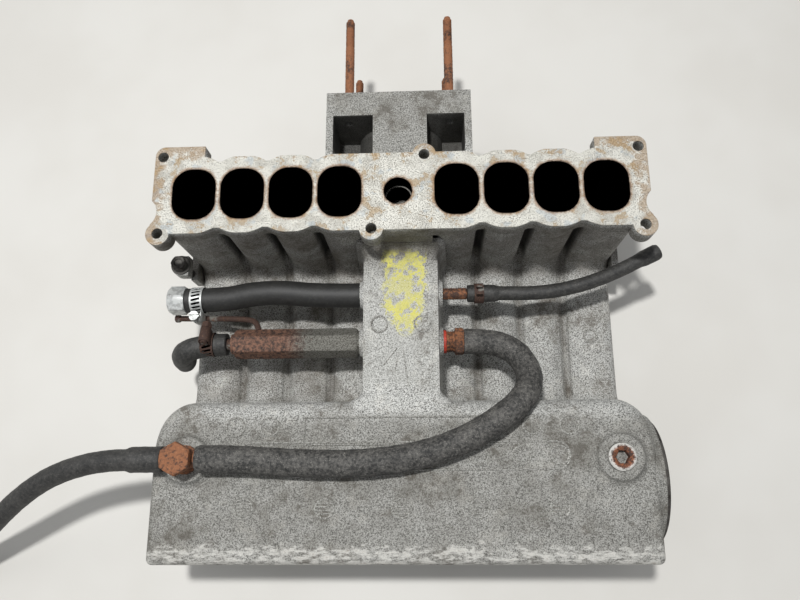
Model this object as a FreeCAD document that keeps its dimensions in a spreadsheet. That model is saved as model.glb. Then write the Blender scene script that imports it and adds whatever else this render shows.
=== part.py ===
"""Upper intake manifold for a V8 engine, laid upside down with its port flange facing up.

Frame: X across the row of ports, Y from the plenum towards the throttle flange, Z up, in millimetres.
The origin is the middle of the resting plane.  The cast body is drawn as its natural regions (port
flange, eight runners, centre duct, plenum, throttle neck, ears), which meet face to face.
"""
import FreeCAD, Part
import math
import os
import Sketcher
from FreeCAD import Placement, Rotation, Vector

doc = FreeCAD.newDocument("IntakeManifold")
sheet = doc.addObject("Spreadsheet::Sheet", "Sizes")

DIMENSIONS = [
    ("port_pitch", 39.37, "distance between neighbouring ports"),
    ("port_first", 46.9, "middle of the first port from the centre plane"),
    ("port_wide", 35, "port opening along the row"),
    ("port_deep", 43, "port opening across the row"),
    ("port_round", 15, "corner radius of a port"),
    ("port_row", 100, "line of the port centres"),
    ("flange_top", 150, "height of the port face"),
    ("flange_thick", 16, "thickness of the port flange"),
    ("flange_half", 199, "half length of the port flange"),
    ("flange_front", 66.6, "front edge of the port flange"),
    ("flange_back", 132.8, "rear edge of the port flange"),
    ("bolt_radius", 4.35, "clearance hole for an 8 mm bolt"),
    ("bolt_across", 192.5, "corner bolt hole from the centre plane"),
    ("bolt_front", 67, "front pair of corner bolt holes"),
    ("bolt_back", 133.4, "rear pair of corner bolt holes"),
    ("ear_radius", 9.6, "rounded ear round a bolt hole"),
    ("tab_inner", 158, "inner end of a rear corner tab"),
    ("tab_back", 142.4, "rear edge of a rear corner tab"),
    ("tab_round", 8, "rounded outer corner of a rear corner tab"),
    ("lobe_radius", 33.8, "rounded edge of the flange round a port"),
    ("waist_radius", 13.6, "hollow in the end of the flange"),
    ("waist_depth", 4.4, "depth of the hollows in the flange's outline"),
    ("side_waist_row", 85, "hollow in the flange's end, front to back"),
    ("mid_bolt_across", 21.3, "middle bolt hole from the centre plane"),
    ("mid_bolt_front", 68, "front middle bolt hole"),
    ("mid_bolt_back", 130.7, "rear middle bolt hole"),
    ("gas_radius", 11.25, "round exhaust gas port in the middle of the row"),
    ("gas_row", 99.35, "exhaust gas port across the row"),
    ("body_half", 188, "half width of the runner bank"),
    ("runner_top", 46, "top of the lower run of a runner"),
    ("runner_wall", 4.5, "wall of a runner"),
    ("runner_slack", 1, "runner passage narrower than its port"),
    ("bend_outer", 42, "outer bend of a runner"),
    ("bend_inner", 12, "inner bend of a runner"),
    ("plenum_half", 196, "half width of the plenum"),
    ("plenum_back", -62, "rear wall of the plenum"),
    ("plenum_front", -186, "front wall of the plenum"),
    ("plenum_top", 112, "height of the plenum"),
    ("plenum_wall", 5, "wall of the plenum"),
    ("end_wall", 8, "thickness of the plenum's end walls"),
    ("corner_plan", 27, "rounded rear corners of the plenum, seen from above"),
    ("shoulder", 16, "rounded upper rear edge of the plenum"),
    ("edge_round", 5, "rounded front edge of the plenum"),
    ("boss_across", 168, "threaded bosses on the plenum from the centre plane"),
    ("boss_row", -108, "threaded bosses on the plenum, front to back"),
    ("boss_radius", 17.5, "radius of a threaded boss"),
    ("boss_rise", 5, "height of a threaded boss above the plenum"),
    ("cap_row", -125, "middle of the round end cap, front to back"),
    ("cap_height", 56, "middle of the round end cap above the table"),
    ("cap_radius", 50, "outer radius of the end cap"),
    ("cap_seat", 47, "radius of the bore that holds the end cap"),
    ("cap_thick", 4, "thickness of the end cap's rim"),
    ("cap_boss", 54, "radius of the cast rim round the end cap"),
    ("cap_boss_rise", 6, "height of the cast rim round the end cap"),
    ("duct_half", 31, "half width of the centre duct"),
    ("duct_leg_half", 27.2, "half width of the duct between the runners"),
    ("duct_top", 106, "top of the centre duct"),
    ("duct_floor", 40, "underside of the centre duct"),
    ("duct_bore", 27, "radius of the duct's passage"),
    ("neck_bore", 28, "radius of the throttle bore"),
    ("bore_height", 72, "height of the throttle bore"),
    ("neck_face", 200.4, "throttle face"),
    ("neck_plate", 22, "thickness of the throttle plate"),
    ("neck_half", 62, "half width of the throttle plate"),
    ("neck_top", 130, "top of the throttle plate"),
    ("neck_low", 14, "underside of the throttle plate"),
    ("neck_barrel", 38, "outer radius of the barrel behind the throttle plate"),
    ("neck_wall", 6, "thickness of the neck's side walls"),
    ("neck_block_left", 22, "left side of the block over the barrel"),
    ("neck_block_right", 24, "right side of the block over the barrel"),
    ("leg_back", 128, "rear face of the runners' upright legs"),
    ("stud_across", 44, "throttle studs from the centre plane"),
    ("stud_rise", 43, "throttle studs above and below the bore"),
    ("stud_radius", 4, "radius of a throttle stud"),
    ("stud_root", 3.8, "radius of a stud where it is screwed into the plate"),
    ("stud_mouth", 0.5, "countersink round a stud in the throttle face"),
    ("stud_long", 83, "length of an upper stud outside the plate"),
    ("stud_short", 74.6, "length of a lower stud outside the plate"),
    ("stud_nose", 3, "pilot nose at the end of a stud"),
    ("fitting_height", 88, "height of the four fittings on the duct"),
    ("fitting_back", 30, "rear pair of fittings"),
    ("fitting_front", -11.5, "front pair of fittings"),
    ("fitting_pad", 4, "cast pad under a fitting"),
    ("hose_radius", 10.5, "half inch hose, outside"),
    ("hose_inner", 6.4, "half inch hose, inside"),
    ("vacuum_radius", 8.3, "three eighths hose, outside"),
    ("vacuum_inner", 4.8, "three eighths hose, inside"),
    ("small_radius", 6, "quarter inch hose, outside"),
    ("small_inner", 3.6, "quarter inch hose, inside"),
    ("grip", 24, "how far a barb reaches into its hose"),
    ("tee_height", 127.8, "height of the tee's branches"),
    ("band_wide", 11.2, "width of a hose clamp band"),
    ("band_thick", 0.8, "thickness of a hose clamp band"),
    ("worm_radius", 3.2, "radius of a clamp's worm screw"),
    ("worm_play", 0.06, "running clearance round a worm screw"),
    ("line_radius", 2.5, "thin steel vacuum line"),
    ("elbow_radius", 9.5, "moulded elbow hose, outside"),
    ("lug_across", 194.5, "bolt lug on the left side from the centre plane"),
    ("lug_row", 60.5, "bolt lug on the left side, front to back"),
    ("lug_top", 86, "top of the bolt lug"),
    ("lug_radius", 9, "radius of the bolt lug"),
]
for row, (alias, value, meaning) in enumerate(DIMENSIONS, start=1):
    sheet.set("A%d" % row, meaning)
    sheet.set("B%d" % row, str(value))
    sheet.setAlias("B%d" % row, alias)
doc.recompute()

pieces = {}


def expr(text):
    """Writes the sheet's name in front of each alias in an expression."""
    words = {alias for alias, _, _ in DIMENSIONS}
    out = ""
    word = ""
    for letter in str(text) + " ":
        if letter.isalnum() or letter == "_":
            word += letter
            continue
        out += ("Sizes." + word if word in words else word) + letter
        word = ""
    return out.strip()


def size(text):
    """The value of an expression on the sheet's aliases."""
    return float(sheet.evalExpression(expr(text)))


def bind(thing, prop, text):
    thing.setExpression(prop, expr(text))


def keep(label, thing):
    """Gives a sub-part its Label and puts it on the list of pieces."""
    thing.Label = label
    pieces[label] = thing
    return thing


# ---------------------------------------------------------------- primitives and booleans

TURNS = {
    "x": Rotation(Vector(0, 1, 0), 90),
    "y": Rotation(Vector(1, 0, 0), -90),
    "z": Rotation(),
}


def place(thing, base, axis="z", spin=0):
    """Stands a primitive's own Z along the named axis at the given expressions."""
    thing.Placement = Placement(Vector(), TURNS[axis] * Rotation(Vector(0, 0, 1), spin))
    for letter, text in zip("xyz", base):
        bind(thing, "Placement.Base." + letter, text)
    return thing


def box(name, low, span):
    thing = doc.addObject("Part::Box", name)
    for prop, text in zip(("Length", "Width", "Height"), span):
        bind(thing, prop, text)
    return place(thing, low)


def bar(name, base, axis, radius, length):
    """Round bar from base along an axis."""
    thing = doc.addObject("Part::Cylinder", name)
    bind(thing, "Radius", radius)
    bind(thing, "Height", length)
    return place(thing, base, axis)


def cone(name, base, axis, radius_low, radius_high, length):
    thing = doc.addObject("Part::Cone", name)
    bind(thing, "Radius1", radius_low)
    bind(thing, "Radius2", radius_high)
    bind(thing, "Height", length)
    return place(thing, base, axis)


def hexagon(name, base, axis, flats, length, spin=0):
    """Hexagonal bar of the given width across flats."""
    thing = doc.addObject("Part::Prism", name)
    thing.Polygon = 6
    bind(thing, "Circumradius", "(%s) / sqrt(3)" % flats)
    bind(thing, "Height", length)
    return place(thing, base, axis, spin)


def fuse(name, parts):
    thing = doc.addObject("Part::MultiFuse", name)
    thing.Shapes = parts
    thing.Refine = True
    return thing


def cut(name, base, tools):
    thing = doc.addObject("Part::Cut", name)
    thing.Base = base
    thing.Tool = tools[0] if len(tools) == 1 else fuse(name + "_tools", tools)
    thing.Refine = True
    return thing


def ring(name, base, axis, outer, inner, length):
    return cut(name, bar(name + "_outer", base, axis, outer, length),
               [bar(name + "_inner", base, axis, inner, length)])


def rounded(name, base, radius, chosen):
    """Fillets the edges for which chosen(edge) is true."""
    doc.recompute()
    thing = doc.addObject("Part::Fillet", name)
    thing.Base = base
    amount = size(radius)
    edges = base.Shape.Edges
    thing.Edges = [(i, amount, amount) for i, edge in enumerate(edges, start=1) if chosen(edge)]
    return thing


def runs_along(edge, axis):
    """True for a straight edge along the unit vector axis."""
    return isinstance(edge.Curve, Part.Line) and abs(edge.Curve.Direction.dot(axis)) > 0.999


# ---------------------------------------------------------------- PartDesign helpers

def new_body(name):
    return doc.addObject("PartDesign::Body", name)


def sketch_on(body, role, name):
    sketch = body.newObject("Sketcher::SketchObject", name)
    plane = [item for item in body.Origin.OriginFeatures if item.Role == role][0]
    sketch.AttachmentSupport = [(plane, "")]
    sketch.MapMode = "FlatFace"
    return sketch


def pin_point(sketch, index, position, texts):
    """Ties one point of a sketch to the sheet by its two distances from the origin."""
    for kind, text, axis in zip(("DistanceX", "DistanceY"), texts, (-2, -1)):
        value = size(text)
        if abs(value) < 1e-9:
            sketch.addConstraint(Sketcher.Constraint("PointOnObject", index, position, axis))
        else:
            number = sketch.addConstraint(
                Sketcher.Constraint(kind, -1, 1, index, position, value))
            bind(sketch, "Constraints[%d]" % number, text)


def outline(sketch, corners):
    """Closed polygon whose corners are pairs of expressions."""
    points = [Vector(size(a), size(b), 0) for a, b in corners]
    count = len(points)
    for i in range(count):
        sketch.addGeometry(Part.LineSegment(points[i], points[(i + 1) % count]), False)
    for i in range(count):
        sketch.addConstraint(Sketcher.Constraint("Coincident", i, 2, (i + 1) % count, 1))
    for i, corner in enumerate(corners):
        pin_point(sketch, i, 1, corner)


def circle(sketch, centre, radius):
    middle = Vector(size(centre[0]), size(centre[1]), 0)
    index = sketch.addGeometry(Part.Circle(middle, Vector(0, 0, 1), size(radius)), False)
    pin_point(sketch, index, 3, centre)
    number = sketch.addConstraint(Sketcher.Constraint("Radius", index, size(radius)))
    bind(sketch, "Constraints[%d]" % number, radius)


def pad(body, sketch, name, length, back=None):
    """Pad to one side, or to two sides when a second length is given."""
    feature = body.newObject("PartDesign::Pad", name)
    feature.Profile = sketch
    if back is not None:
        feature.SideType = "Two sides"
        bind(feature, "Length2", back)
    bind(feature, "Length", length)
    body.Tip = feature
    doc.recompute()
    return feature


def pocket(body, sketch, name, length, back=None):
    """Pocket that must take material away."""
    before = body.Shape.Volume
    feature = body.newObject("PartDesign::Pocket", name)
    feature.Profile = sketch
    if back is not None:
        feature.SideType = "Two sides"
        bind(feature, "Length2", back)
    bind(feature, "Length", length)
    body.Tip = feature
    doc.recompute()
    if body.Shape.Volume > before - 1e-6:
        raise RuntimeError(name + " cuts nothing")
    return feature


def turned(name, profile):
    """Body turned about its own Z axis from (radius, height) corners."""
    body = new_body(name)
    sketch = sketch_on(body, "XZ_Plane", name + "_profile")
    outline(sketch, profile)
    feature = body.newObject("PartDesign::Revolution", name + "_turn")
    feature.Profile = sketch
    feature.ReferenceAxis = (sketch, ["V_Axis"])
    feature.Angle = 360
    body.Tip = feature
    return body


# ---------------------------------------------------------------- the cast body

def oval_port(name, middle):
    """Cutter for one port: an upright block with rounded corners."""
    block = box(name + "_block",
                ("%s - port_wide / 2" % middle, "port_row - port_deep / 2",
                 "flange_top - flange_thick"),
                ("port_wide", "port_deep", "flange_thick"))
    upright = Vector(0, 0, 1)
    return rounded(name, block, "port_round", lambda edge: runs_along(edge, upright))


def corner_tab(side, sign):
    """Tab round a rear corner bolt, with its outer corner rounded."""
    block = box("flange_tab_" + side,
                ("-flange_half" if sign else "tab_inner", "flange_back - waist_radius",
                 "flange_top - flange_thick"),
                ("flange_half - tab_inner", "tab_back - flange_back + waist_radius",
                 "flange_thick"))
    corner_x = size(sign + "flange_half")
    corner_y = size("tab_back")

    def outer_corner(edge):
        middle = edge.CenterOfMass
        return math.hypot(middle.x - corner_x, middle.y - corner_y) < 0.01

    return rounded("flange_tab_%s_rounded" % side, block, "tab_round", outer_corner)


def valleys(edge, side, sign, low):
    """Cutter for one edge of the flange: a strip less a disc round each port, which leaves the
    edge lobed with a short flat between two lobes."""
    under = "flange_top - flange_thick"
    label = "%s_%s" % (edge, side)
    start = "-port_first - 3 * port_pitch" if sign else "port_first"
    strip = box("strip_" + label, (start, low, under),
                ("3 * port_pitch", "waist_depth", "flange_thick"))
    lobes = []
    for number in range(4):
        middle = "%s(port_first + %d * port_pitch)" % (sign, number)
        lobes.append(bar("lobe_%s_%d" % (label, number + 1), (middle, "port_row", under), "z",
                         "lobe_radius", "flange_thick"))
    return cut("valleys_" + label, strip, lobes)


def port_flange():
    """Flat plate, lobed round its ports, with ears round its bolt holes and nine holes."""
    under = "flange_top - flange_thick"
    plate = box("flange_plate", ("-flange_half", "flange_front", under),
                ("2 * flange_half", "flange_back - flange_front", "flange_thick"))
    hollows = []
    for side, sign in (("left", "-"), ("right", "")):
        hollows.append(valleys("front", side, sign, "flange_front"))
        hollows.append(valleys("back", side, sign, "flange_back - waist_depth"))
        hollows.append(bar("waist_" + side,
                           (sign + "(flange_half + waist_radius - waist_depth)",
                            "side_waist_row", under), "z", "waist_radius", "flange_thick"))
    solids = [cut("flange_waisted", plate, hollows)]
    holes = []
    for side, sign in (("left", "-"), ("right", "")):
        solids.append(corner_tab(side, sign))
        for end in ("front", "back"):
            place_of = (sign + "bolt_across", "bolt_" + end, under)
            holes.append(bar("hole_%s_%s" % (side, end), place_of, "z", "bolt_radius",
                             "flange_thick"))
            if end == "front":
                solids.append(bar("ear_%s_%s" % (side, end), place_of, "z", "ear_radius",
                                  "flange_thick"))
        for number in range(4):
            middle = "%s(port_first + %d * port_pitch)" % (sign, number)
            holes.append(oval_port("port_%s_%d" % (side, number + 1), middle))
    for end, sign in (("front", "-"), ("back", "")):
        place_of = (sign + "mid_bolt_across", "mid_bolt_" + end, under)
        solids.append(bar("mid_ear_" + end, place_of, "z", "ear_radius", "flange_thick"))
        holes.append(bar("mid_hole_" + end, place_of, "z", "bolt_radius", "flange_thick"))
    holes.append(bar("gas_port", ("0", "gas_row", under), "z", "gas_radius", "flange_thick"))
    keep("port_flange", cut("PortFlange", fuse("flange_solid", solids), holes))


def runner(label, sign, number):
    """One runner: an upright leg under its port that bends forward into the plenum."""
    body = new_body(label)
    outer = "body_half - port_first - 3 * port_pitch" if number == 3 else "port_pitch / 2"
    inner = "port_pitch / 2"
    right, left = (outer, inner) if sign > 0 else (inner, outer)
    under = "flange_top - flange_thick"
    shell = sketch_on(body, "YZ_Plane", label + "_shell")
    outline(shell, [("leg_back", under), ("flange_front", under),
                    ("flange_front", "runner_top"), ("plenum_back", "runner_top"),
                    ("plenum_back", "0"), ("leg_back", "0")])
    base = pad(body, shell, label + "_pad", right, left)
    bends = (("bend_outer", size("leg_back"), 0.0),
             ("bend_inner", size("flange_front"), size("runner_top")))
    for text, across, height in bends:
        chosen = []
        for i, edge in enumerate(base.Shape.Edges, start=1):
            middle = edge.CenterOfMass
            if runs_along(edge, Vector(1, 0, 0)) and math.hypot(middle.y - across,
                                                                middle.z - height) < 0.01:
                chosen.append("Edge%d" % i)
        feature = body.newObject("PartDesign::Fillet", label + "_" + text)
        feature.Base = (base, chosen)
        bind(feature, "Radius", text)
        body.Tip = feature
        doc.recompute()
        base = feature
    passage = sketch_on(body, "YZ_Plane", label + "_passage")
    front = "port_row - port_deep / 2"
    back = "port_row + port_deep / 2"
    ceiling = "runner_top - runner_wall"
    outline(passage, [(back, under), (front, under), (front, ceiling),
                      ("plenum_back", ceiling), ("plenum_back", "runner_wall"),
                      (back + " - bend_outer / 2", "runner_wall"),
                      (back, "runner_wall + bend_outer / 2")])
    half = "(port_wide - runner_slack) / 2"
    pocket(body, passage, label + "_pocket", half, half)
    bind(body, "Placement.Base.x", "%d * (port_first + %d * port_pitch)" % (sign, number))
    keep(label, body)


def centre_duct():
    """Air duct from the throttle neck to the plenum, with pads for the side fittings."""
    reach = "flange_front - plenum_back"
    solids = [
        box("duct_upper", ("-duct_half", "plenum_back", "runner_top"),
            ("2 * duct_half", reach + " - bend_inner", "duct_top - runner_top")),
        box("duct_lower", ("-duct_leg_half", "plenum_back", "duct_floor"),
            ("2 * duct_leg_half", reach, "duct_top - duct_floor")),
        box("duct_foot", ("-duct_leg_half", "plenum_back", "0"),
            ("2 * duct_leg_half", "leg_back - bend_outer - plenum_back", "runner_wall")),
        box("duct_web", ("-3", "plenum_back", "0"),
            ("6", "leg_back - bend_outer - plenum_back", "duct_floor + 1")),
        box("duct_pedestal", ("-duct_leg_half", "flange_front", "duct_floor"),
            ("2 * duct_leg_half", "leg_back - flange_front",
             "flange_top - flange_thick - duct_floor")),
    ]
    for side, start in (("left", "-duct_half - fitting_pad"), ("right", "duct_half")):
        for end in ("back", "front"):
            solids.append(bar("pad_%s_%s" % (side, end),
                              (start, "fitting_" + end, "fitting_height"), "x",
                              "hose_radius + 1", "fitting_pad"))
    passage = bar("duct_passage", ("0", "plenum_back", "bore_height"), "y", "duct_bore",
                  "leg_back - plenum_back")
    well = bar("gas_well", ("0", "gas_row", "duct_top"), "z", "gas_radius - 1",
               "flange_top - flange_thick - duct_top")
    keep("centre_duct", cut("CentreDuct", fuse("duct_solid", solids), [passage, well]))


def plenum():
    """Hollow box with runner inlets at the back, a round opening at its right end and two
    threaded bosses on top."""
    depth = "plenum_back - plenum_front"
    block = box("plenum_block", ("-plenum_half", "plenum_front", "0"),
                ("2 * plenum_half", depth, "plenum_top"))
    back = size("plenum_back")
    front = size("plenum_front")
    top = size("plenum_top")
    upright = Vector(0, 0, 1)
    corners = rounded("plenum_corners", block, "corner_plan",
                      lambda edge: runs_along(edge, upright)
                      and abs(edge.CenterOfMass.y - back) < 0.01)
    shoulder = rounded("plenum_shoulder", corners, "shoulder",
                       lambda edge: runs_along(edge, Vector(1, 0, 0))
                       and abs(edge.CenterOfMass.y - back) < 0.01
                       and abs(edge.CenterOfMass.z - top) < 0.01)
    front_edge = rounded("plenum_front_edge", shoulder, "edge_round",
                         lambda edge: runs_along(edge, Vector(1, 0, 0))
                         and abs(edge.CenterOfMass.y - front) < 0.01
                         and abs(edge.CenterOfMass.z - top) < 0.01)
    solids = [front_edge]
    holes = [box("plenum_hollow",
                 ("-plenum_half + end_wall", "plenum_front + plenum_wall", "plenum_wall"),
                 ("2 * (plenum_half - end_wall)", depth + " - 2 * plenum_wall",
                  "plenum_top - 2 * plenum_wall"))]
    for side, sign, bore in (("left", "-", "8"), ("right", "", "10.5")):
        middle = (sign + "boss_across", "boss_row")
        solids.append(bar("boss_" + side, middle + ("plenum_top - 8",), "z", "boss_radius",
                          "boss_rise + 8"))
        holes.append(bar("boss_hole_" + side, middle + ("plenum_top - 8",), "z", bore,
                         "boss_rise + 8"))
        for number in range(4):
            low = "%s(port_first + %d * port_pitch) - (port_wide - runner_slack) / 2" % (
                sign, number)
            holes.append(box("inlet_%s_%d" % (side, number + 1),
                             (low, "plenum_back - plenum_wall", "runner_wall"),
                             ("port_wide - runner_slack", "plenum_wall",
                              "runner_top - 2 * runner_wall")))
    holes.append(bar("duct_inlet", ("0", "plenum_back - plenum_wall", "bore_height"), "y",
                     "duct_bore", "plenum_wall"))
    solids.append(bar("cap_rim", ("plenum_half - 1", "cap_row", "cap_height"), "x", "cap_boss",
                      "cap_boss_rise + 1"))
    holes.append(bar("cap_bore", ("plenum_half - end_wall", "cap_row", "cap_height"), "x",
                     "cap_seat", "end_wall + cap_boss_rise"))
    keep("plenum", cut("Plenum", fuse("plenum_solid", solids), holes))


def throttle_neck():
    """Throttle plate, its barrel, two side walls and the block over the barrel."""
    reach = "neck_face - neck_plate - leg_back"
    tall = "neck_top - neck_low"
    solids = [
        box("neck_flange", ("-neck_half", "neck_face - neck_plate", "neck_low"),
            ("2 * neck_half", "neck_plate", tall)),
        bar("neck_tube", ("0", "leg_back", "bore_height"), "y", "neck_barrel",
            reach + " + 1"),
        box("neck_block", ("-neck_block_left", "leg_back", "bore_height"),
            ("neck_block_left + neck_block_right", reach + " + 1", "neck_top - bore_height")),
        box("neck_wall_left", ("-neck_half", "leg_back", "bore_height"),
            ("neck_wall", reach + " + 1", "neck_top - bore_height")),
        box("neck_wall_right", ("neck_half - neck_wall", "leg_back", "bore_height"),
            ("neck_wall", reach + " + 1", "neck_top - bore_height")),
        box("neck_shelf", ("-neck_half", "leg_back", "bore_height - 4"),
            ("2 * neck_half", reach + " + 1", "8")),
    ]
    holes = [bar("neck_passage", ("0", "leg_back", "bore_height"), "y", "neck_bore",
                 "neck_face - leg_back")]
    for across in ("-stud_across", "stud_across"):
        for rise in ("-stud_rise", "stud_rise"):
            height = "bore_height + (%s)" % rise
            holes.append(bar("stud_hole", (across, "neck_face - neck_plate", height), "y",
                             "stud_root", "neck_plate"))
            holes.append(cone("stud_mouth", (across, "neck_face - stud_mouth", height), "y",
                              "stud_root", "stud_radius + stud_mouth / 2", "stud_mouth"))
    keep("throttle_neck", cut("ThrottleNeck", fuse("neck_solid", solids), holes))


def side_ears():
    """Cast ears on the two sides of the runner bank and the bolt lug on the left."""
    for label, low in (("side_ear_left", "-body_half - 6"), ("side_ear_right", "body_half")):
        block = box(label + "_block", (low, "flange_front - 12", "40"), ("6", "30", "20"))
        wedge_tip = low if label == "side_ear_left" else "body_half + 6"
        sloped = cone(label + "_trim", (wedge_tip, "flange_front + 22", "39"), "z", "5", "5",
                      "22")
        keep(label, cut(label + "_solid", block, [sloped]))
    arm = box("lug_arm", ("-lug_across", "lug_row - lug_radius", "lug_top - 12"),
              ("lug_across - body_half", "2 * lug_radius", "12"))
    eye = bar("lug_eye", ("-lug_across", "lug_row", "lug_top - 12"), "z", "lug_radius", "12")
    hole = bar("lug_hole", ("-lug_across", "lug_row", "lug_top - 12"), "z", "4", "12")
    beside = box("lug_trim", ("-body_half", "lug_row - 2 * lug_radius", "lug_top - 12"),
                 ("20", "4 * lug_radius", "12"))
    keep("bolt_lug", cut("BoltLug", fuse("lug_solid", [arm, eye]), [hole, beside]))


# ---------------------------------------------------------------- studs, plugs and fittings

def throttle_studs():
    """Four studs in the throttle plate, the lower pair set deeper than the upper pair."""
    studs = []
    for across in ("-stud_across", "stud_across"):
        for rise, length in (("-stud_rise", "stud_short"), ("stud_rise", "stud_long")):
            height = "bore_height + (%s)" % rise
            root = bar("stud_screwed_in", (across, "neck_face - neck_plate", height), "y",
                       "stud_root", "neck_plate")
            shank = bar("stud_shank", (across, "neck_face", height), "y", "stud_radius",
                        "%s - stud_nose" % length)
            nose = cone("stud_end", (across, "neck_face + %s - stud_nose" % length, height),
                        "y", "stud_radius", "stud_radius - 1.2", "stud_nose")
            studs.append(fuse("stud", [root, shank, nose]))
    doc.recompute()
    group = doc.addObject("Part::Compound", "ThrottleStuds")
    group.Links = studs
    keep("throttle_studs", group)


def plenum_end_cap():
    """Pressed steel plug: a shallow dished cup with a rim that stands on the cast rim."""
    body = turned("EndCap", [
        ("0", "0"), ("cap_seat - 4", "0"), ("cap_seat - 4", "-8"), ("cap_seat", "-8"),
        ("cap_seat", "0"), ("cap_radius", "0"), ("cap_radius", "cap_thick - 1.5"),
        ("cap_radius - 1.5", "cap_thick"), ("0", "cap_thick")])
    place(body, ("plenum_half + cap_boss_rise", "cap_row", "cap_height"), "x")
    keep("plenum_end_cap", body)


def pipe_plug():
    """Threaded pipe plug with a hexagon socket."""
    body = new_body("PipePlug")
    disc = sketch_on(body, "XY_Plane", "plug_disc")
    circle(disc, ("0", "0"), "10.5")
    pad(body, disc, "plug_pad", "boss_rise + 8 + 3")
    socket = sketch_on(body, "XY_Plane", "plug_socket")
    corner = "9.5 / sqrt(3)"
    corners = []
    for step in range(6):
        angle = math.radians(60 * step)
        corners.append(("%s * %.6f" % (corner, math.cos(angle)),
                        "%s * %.6f" % (corner, math.sin(angle))))
    outline(socket, corners)
    bind(socket, "AttachmentOffset.Base.z", "boss_rise + 8 + 3")
    pocket(body, socket, "plug_pocket", "9")
    place(body, ("boss_across", "boss_row", "plenum_top - 8"))
    keep("pipe_plug", body)


def vacuum_tee():
    """Hexagon-headed tee: a threaded stem in the left boss and two barbed branches."""
    across = "-boss_across"
    solids = [
        bar("tee_stem", (across, "boss_row", "plenum_top - 8"), "z", "8", "boss_rise + 8"),
        bar("tee_foot", (across, "boss_row", "plenum_top + boss_rise"), "z", "11", "2.5"),
        bar("tee_body", (across, "boss_row", "plenum_top + boss_rise"), "z", "9.2", "19"),
        hexagon("tee_hexagon", (across, "boss_row", "plenum_top + boss_rise + 18.5"), "z",
                "22", "8", 30),
        bar("tee_branch_right", (across, "boss_row", "tee_height"), "x", "hose_inner",
            "13 + grip"),
        bar("tee_branch_left", (across + " - 13 - grip", "boss_row", "tee_height"), "x",
            "vacuum_inner", "13 + grip"),
    ]
    keep("vacuum_tee", fuse("VacuumTee", solids))


def duct_fittings():
    """Nipples and adapters on the four pads of the duct."""
    left = "-duct_half - fitting_pad"
    right = "duct_half + fitting_pad"
    height = "fitting_height"
    keep("heater_nipple", bar("HeaterNipple", (left + " - grip", "fitting_back", height), "x",
                              "hose_inner", "grip"))
    keep("small_nipple", fuse("SmallNipple", [
        bar("small_tube", (right, "fitting_back", height), "x", "4.9", "21"),
        bar("small_barb", (right, "fitting_back", height), "x", "small_inner",
            "21 + 20")]))
    keep("adapter_seal", ring("AdapterSeal", (right, "fitting_front", height), "x", "9.8",
                              "7.5", "2.6"))
    keep("hose_adapter", fuse("HoseAdapter", [
        bar("adapter_neck", (right, "fitting_front", height), "x", "7.5", "2.6"),
        bar("adapter_thread", (right + " + 2.6", "fitting_front", height), "x", "8.9", "7"),
        hexagon("adapter_hexagon", (right + " + 9", "fitting_front", height), "x", "21", "8"),
        bar("adapter_barb", (right + " + 17", "fitting_front", height), "x", "hose_inner",
            "grip")]))
    keep("hexagon_extension", fuse("HexagonExtension", [
        bar("extension_root", (left + " - 2", "fitting_front", height), "x", "10", "2"),
        hexagon("extension_bar", (left + " - 106", "fitting_front", height), "x", "22", "104",
                40),
        bar("extension_nose", (left + " - 109", "fitting_front", height), "x", "8.6", "4")]))
    keep("extension_nipple", bar("ExtensionNipple",
                                 (left + " - 109 - 10 - 20", "fitting_front", height), "x",
                                 "vacuum_inner", "30"))


def hose_plug_bolt():
    """Hexagon-headed bolt pushed into the end of the heater hose."""
    body = new_body("HosePlugBolt")
    shank = sketch_on(body, "YZ_Plane", "plug_shank")
    circle(shank, ("0", "0"), "hose_inner")
    pad(body, shank, "plug_shank_pad", "28")
    head = sketch_on(body, "YZ_Plane", "plug_head")
    corners = []
    for step in range(6):
        angle = math.radians(60 * step + 22)
        corners.append(("22 / sqrt(3) * %.6f" % math.cos(angle),
                        "22 / sqrt(3) * %.6f" % math.sin(angle)))
    outline(head, corners)
    feature = pad(body, head, "plug_head_pad", "15")
    feature.Reversed = True
    place(body, HEATER_END)
    keep("hose_plug_bolt", body)


def lug_bolt():
    """Small hexagon bolt and its washer on the bolt lug."""
    washer = turned("LugWasher", [("4", "0"), ("8.6", "0"), ("8.6", "1.8"), ("4", "1.8")])
    place(washer, ("-lug_across", "lug_row", "lug_top"))
    keep("lug_washer", washer)
    keep("lug_bolt", fuse("LugBolt", [
        bar("lug_shank", ("-lug_across", "lug_row", "lug_top - 26"), "z", "4", "27.8"),
        hexagon("lug_head", ("-lug_across", "lug_row", "lug_top + 1.8"), "z", "12", "7")]))


# ---------------------------------------------------------------- hoses and lines

def route_edges(points):
    """Straight runs joined by tangent arcs.  An arc's radius is 0.45 of the shorter run over
    the tangent of half the turn.  Returns the edges, their length and the smallest radius."""
    edges = []
    smallest = float("inf")
    start = points[0]
    for before, corner, after in zip(points, points[1:], points[2:]):
        into = corner - before
        out = after - corner
        turn = into.getAngle(out)
        shorter = min(into.Length, out.Length)
        trim = 0.45 * shorter
        radius = trim / math.tan(turn / 2)
        smallest = min(smallest, radius)
        into.normalize()
        out.normalize()
        first = corner - into * trim
        last = corner + out * trim
        bisector = (out - into).normalize()
        centre = corner + bisector * math.hypot(radius, trim)
        middle = centre - bisector * radius
        edges.append(Part.LineSegment(start, first).toShape())
        edges.append(Part.Arc(first, middle, last).toShape())
        start = last
    edges.append(Part.LineSegment(start, points[-1]).toShape())
    return edges, sum(edge.Length for edge in edges), smallest


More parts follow.
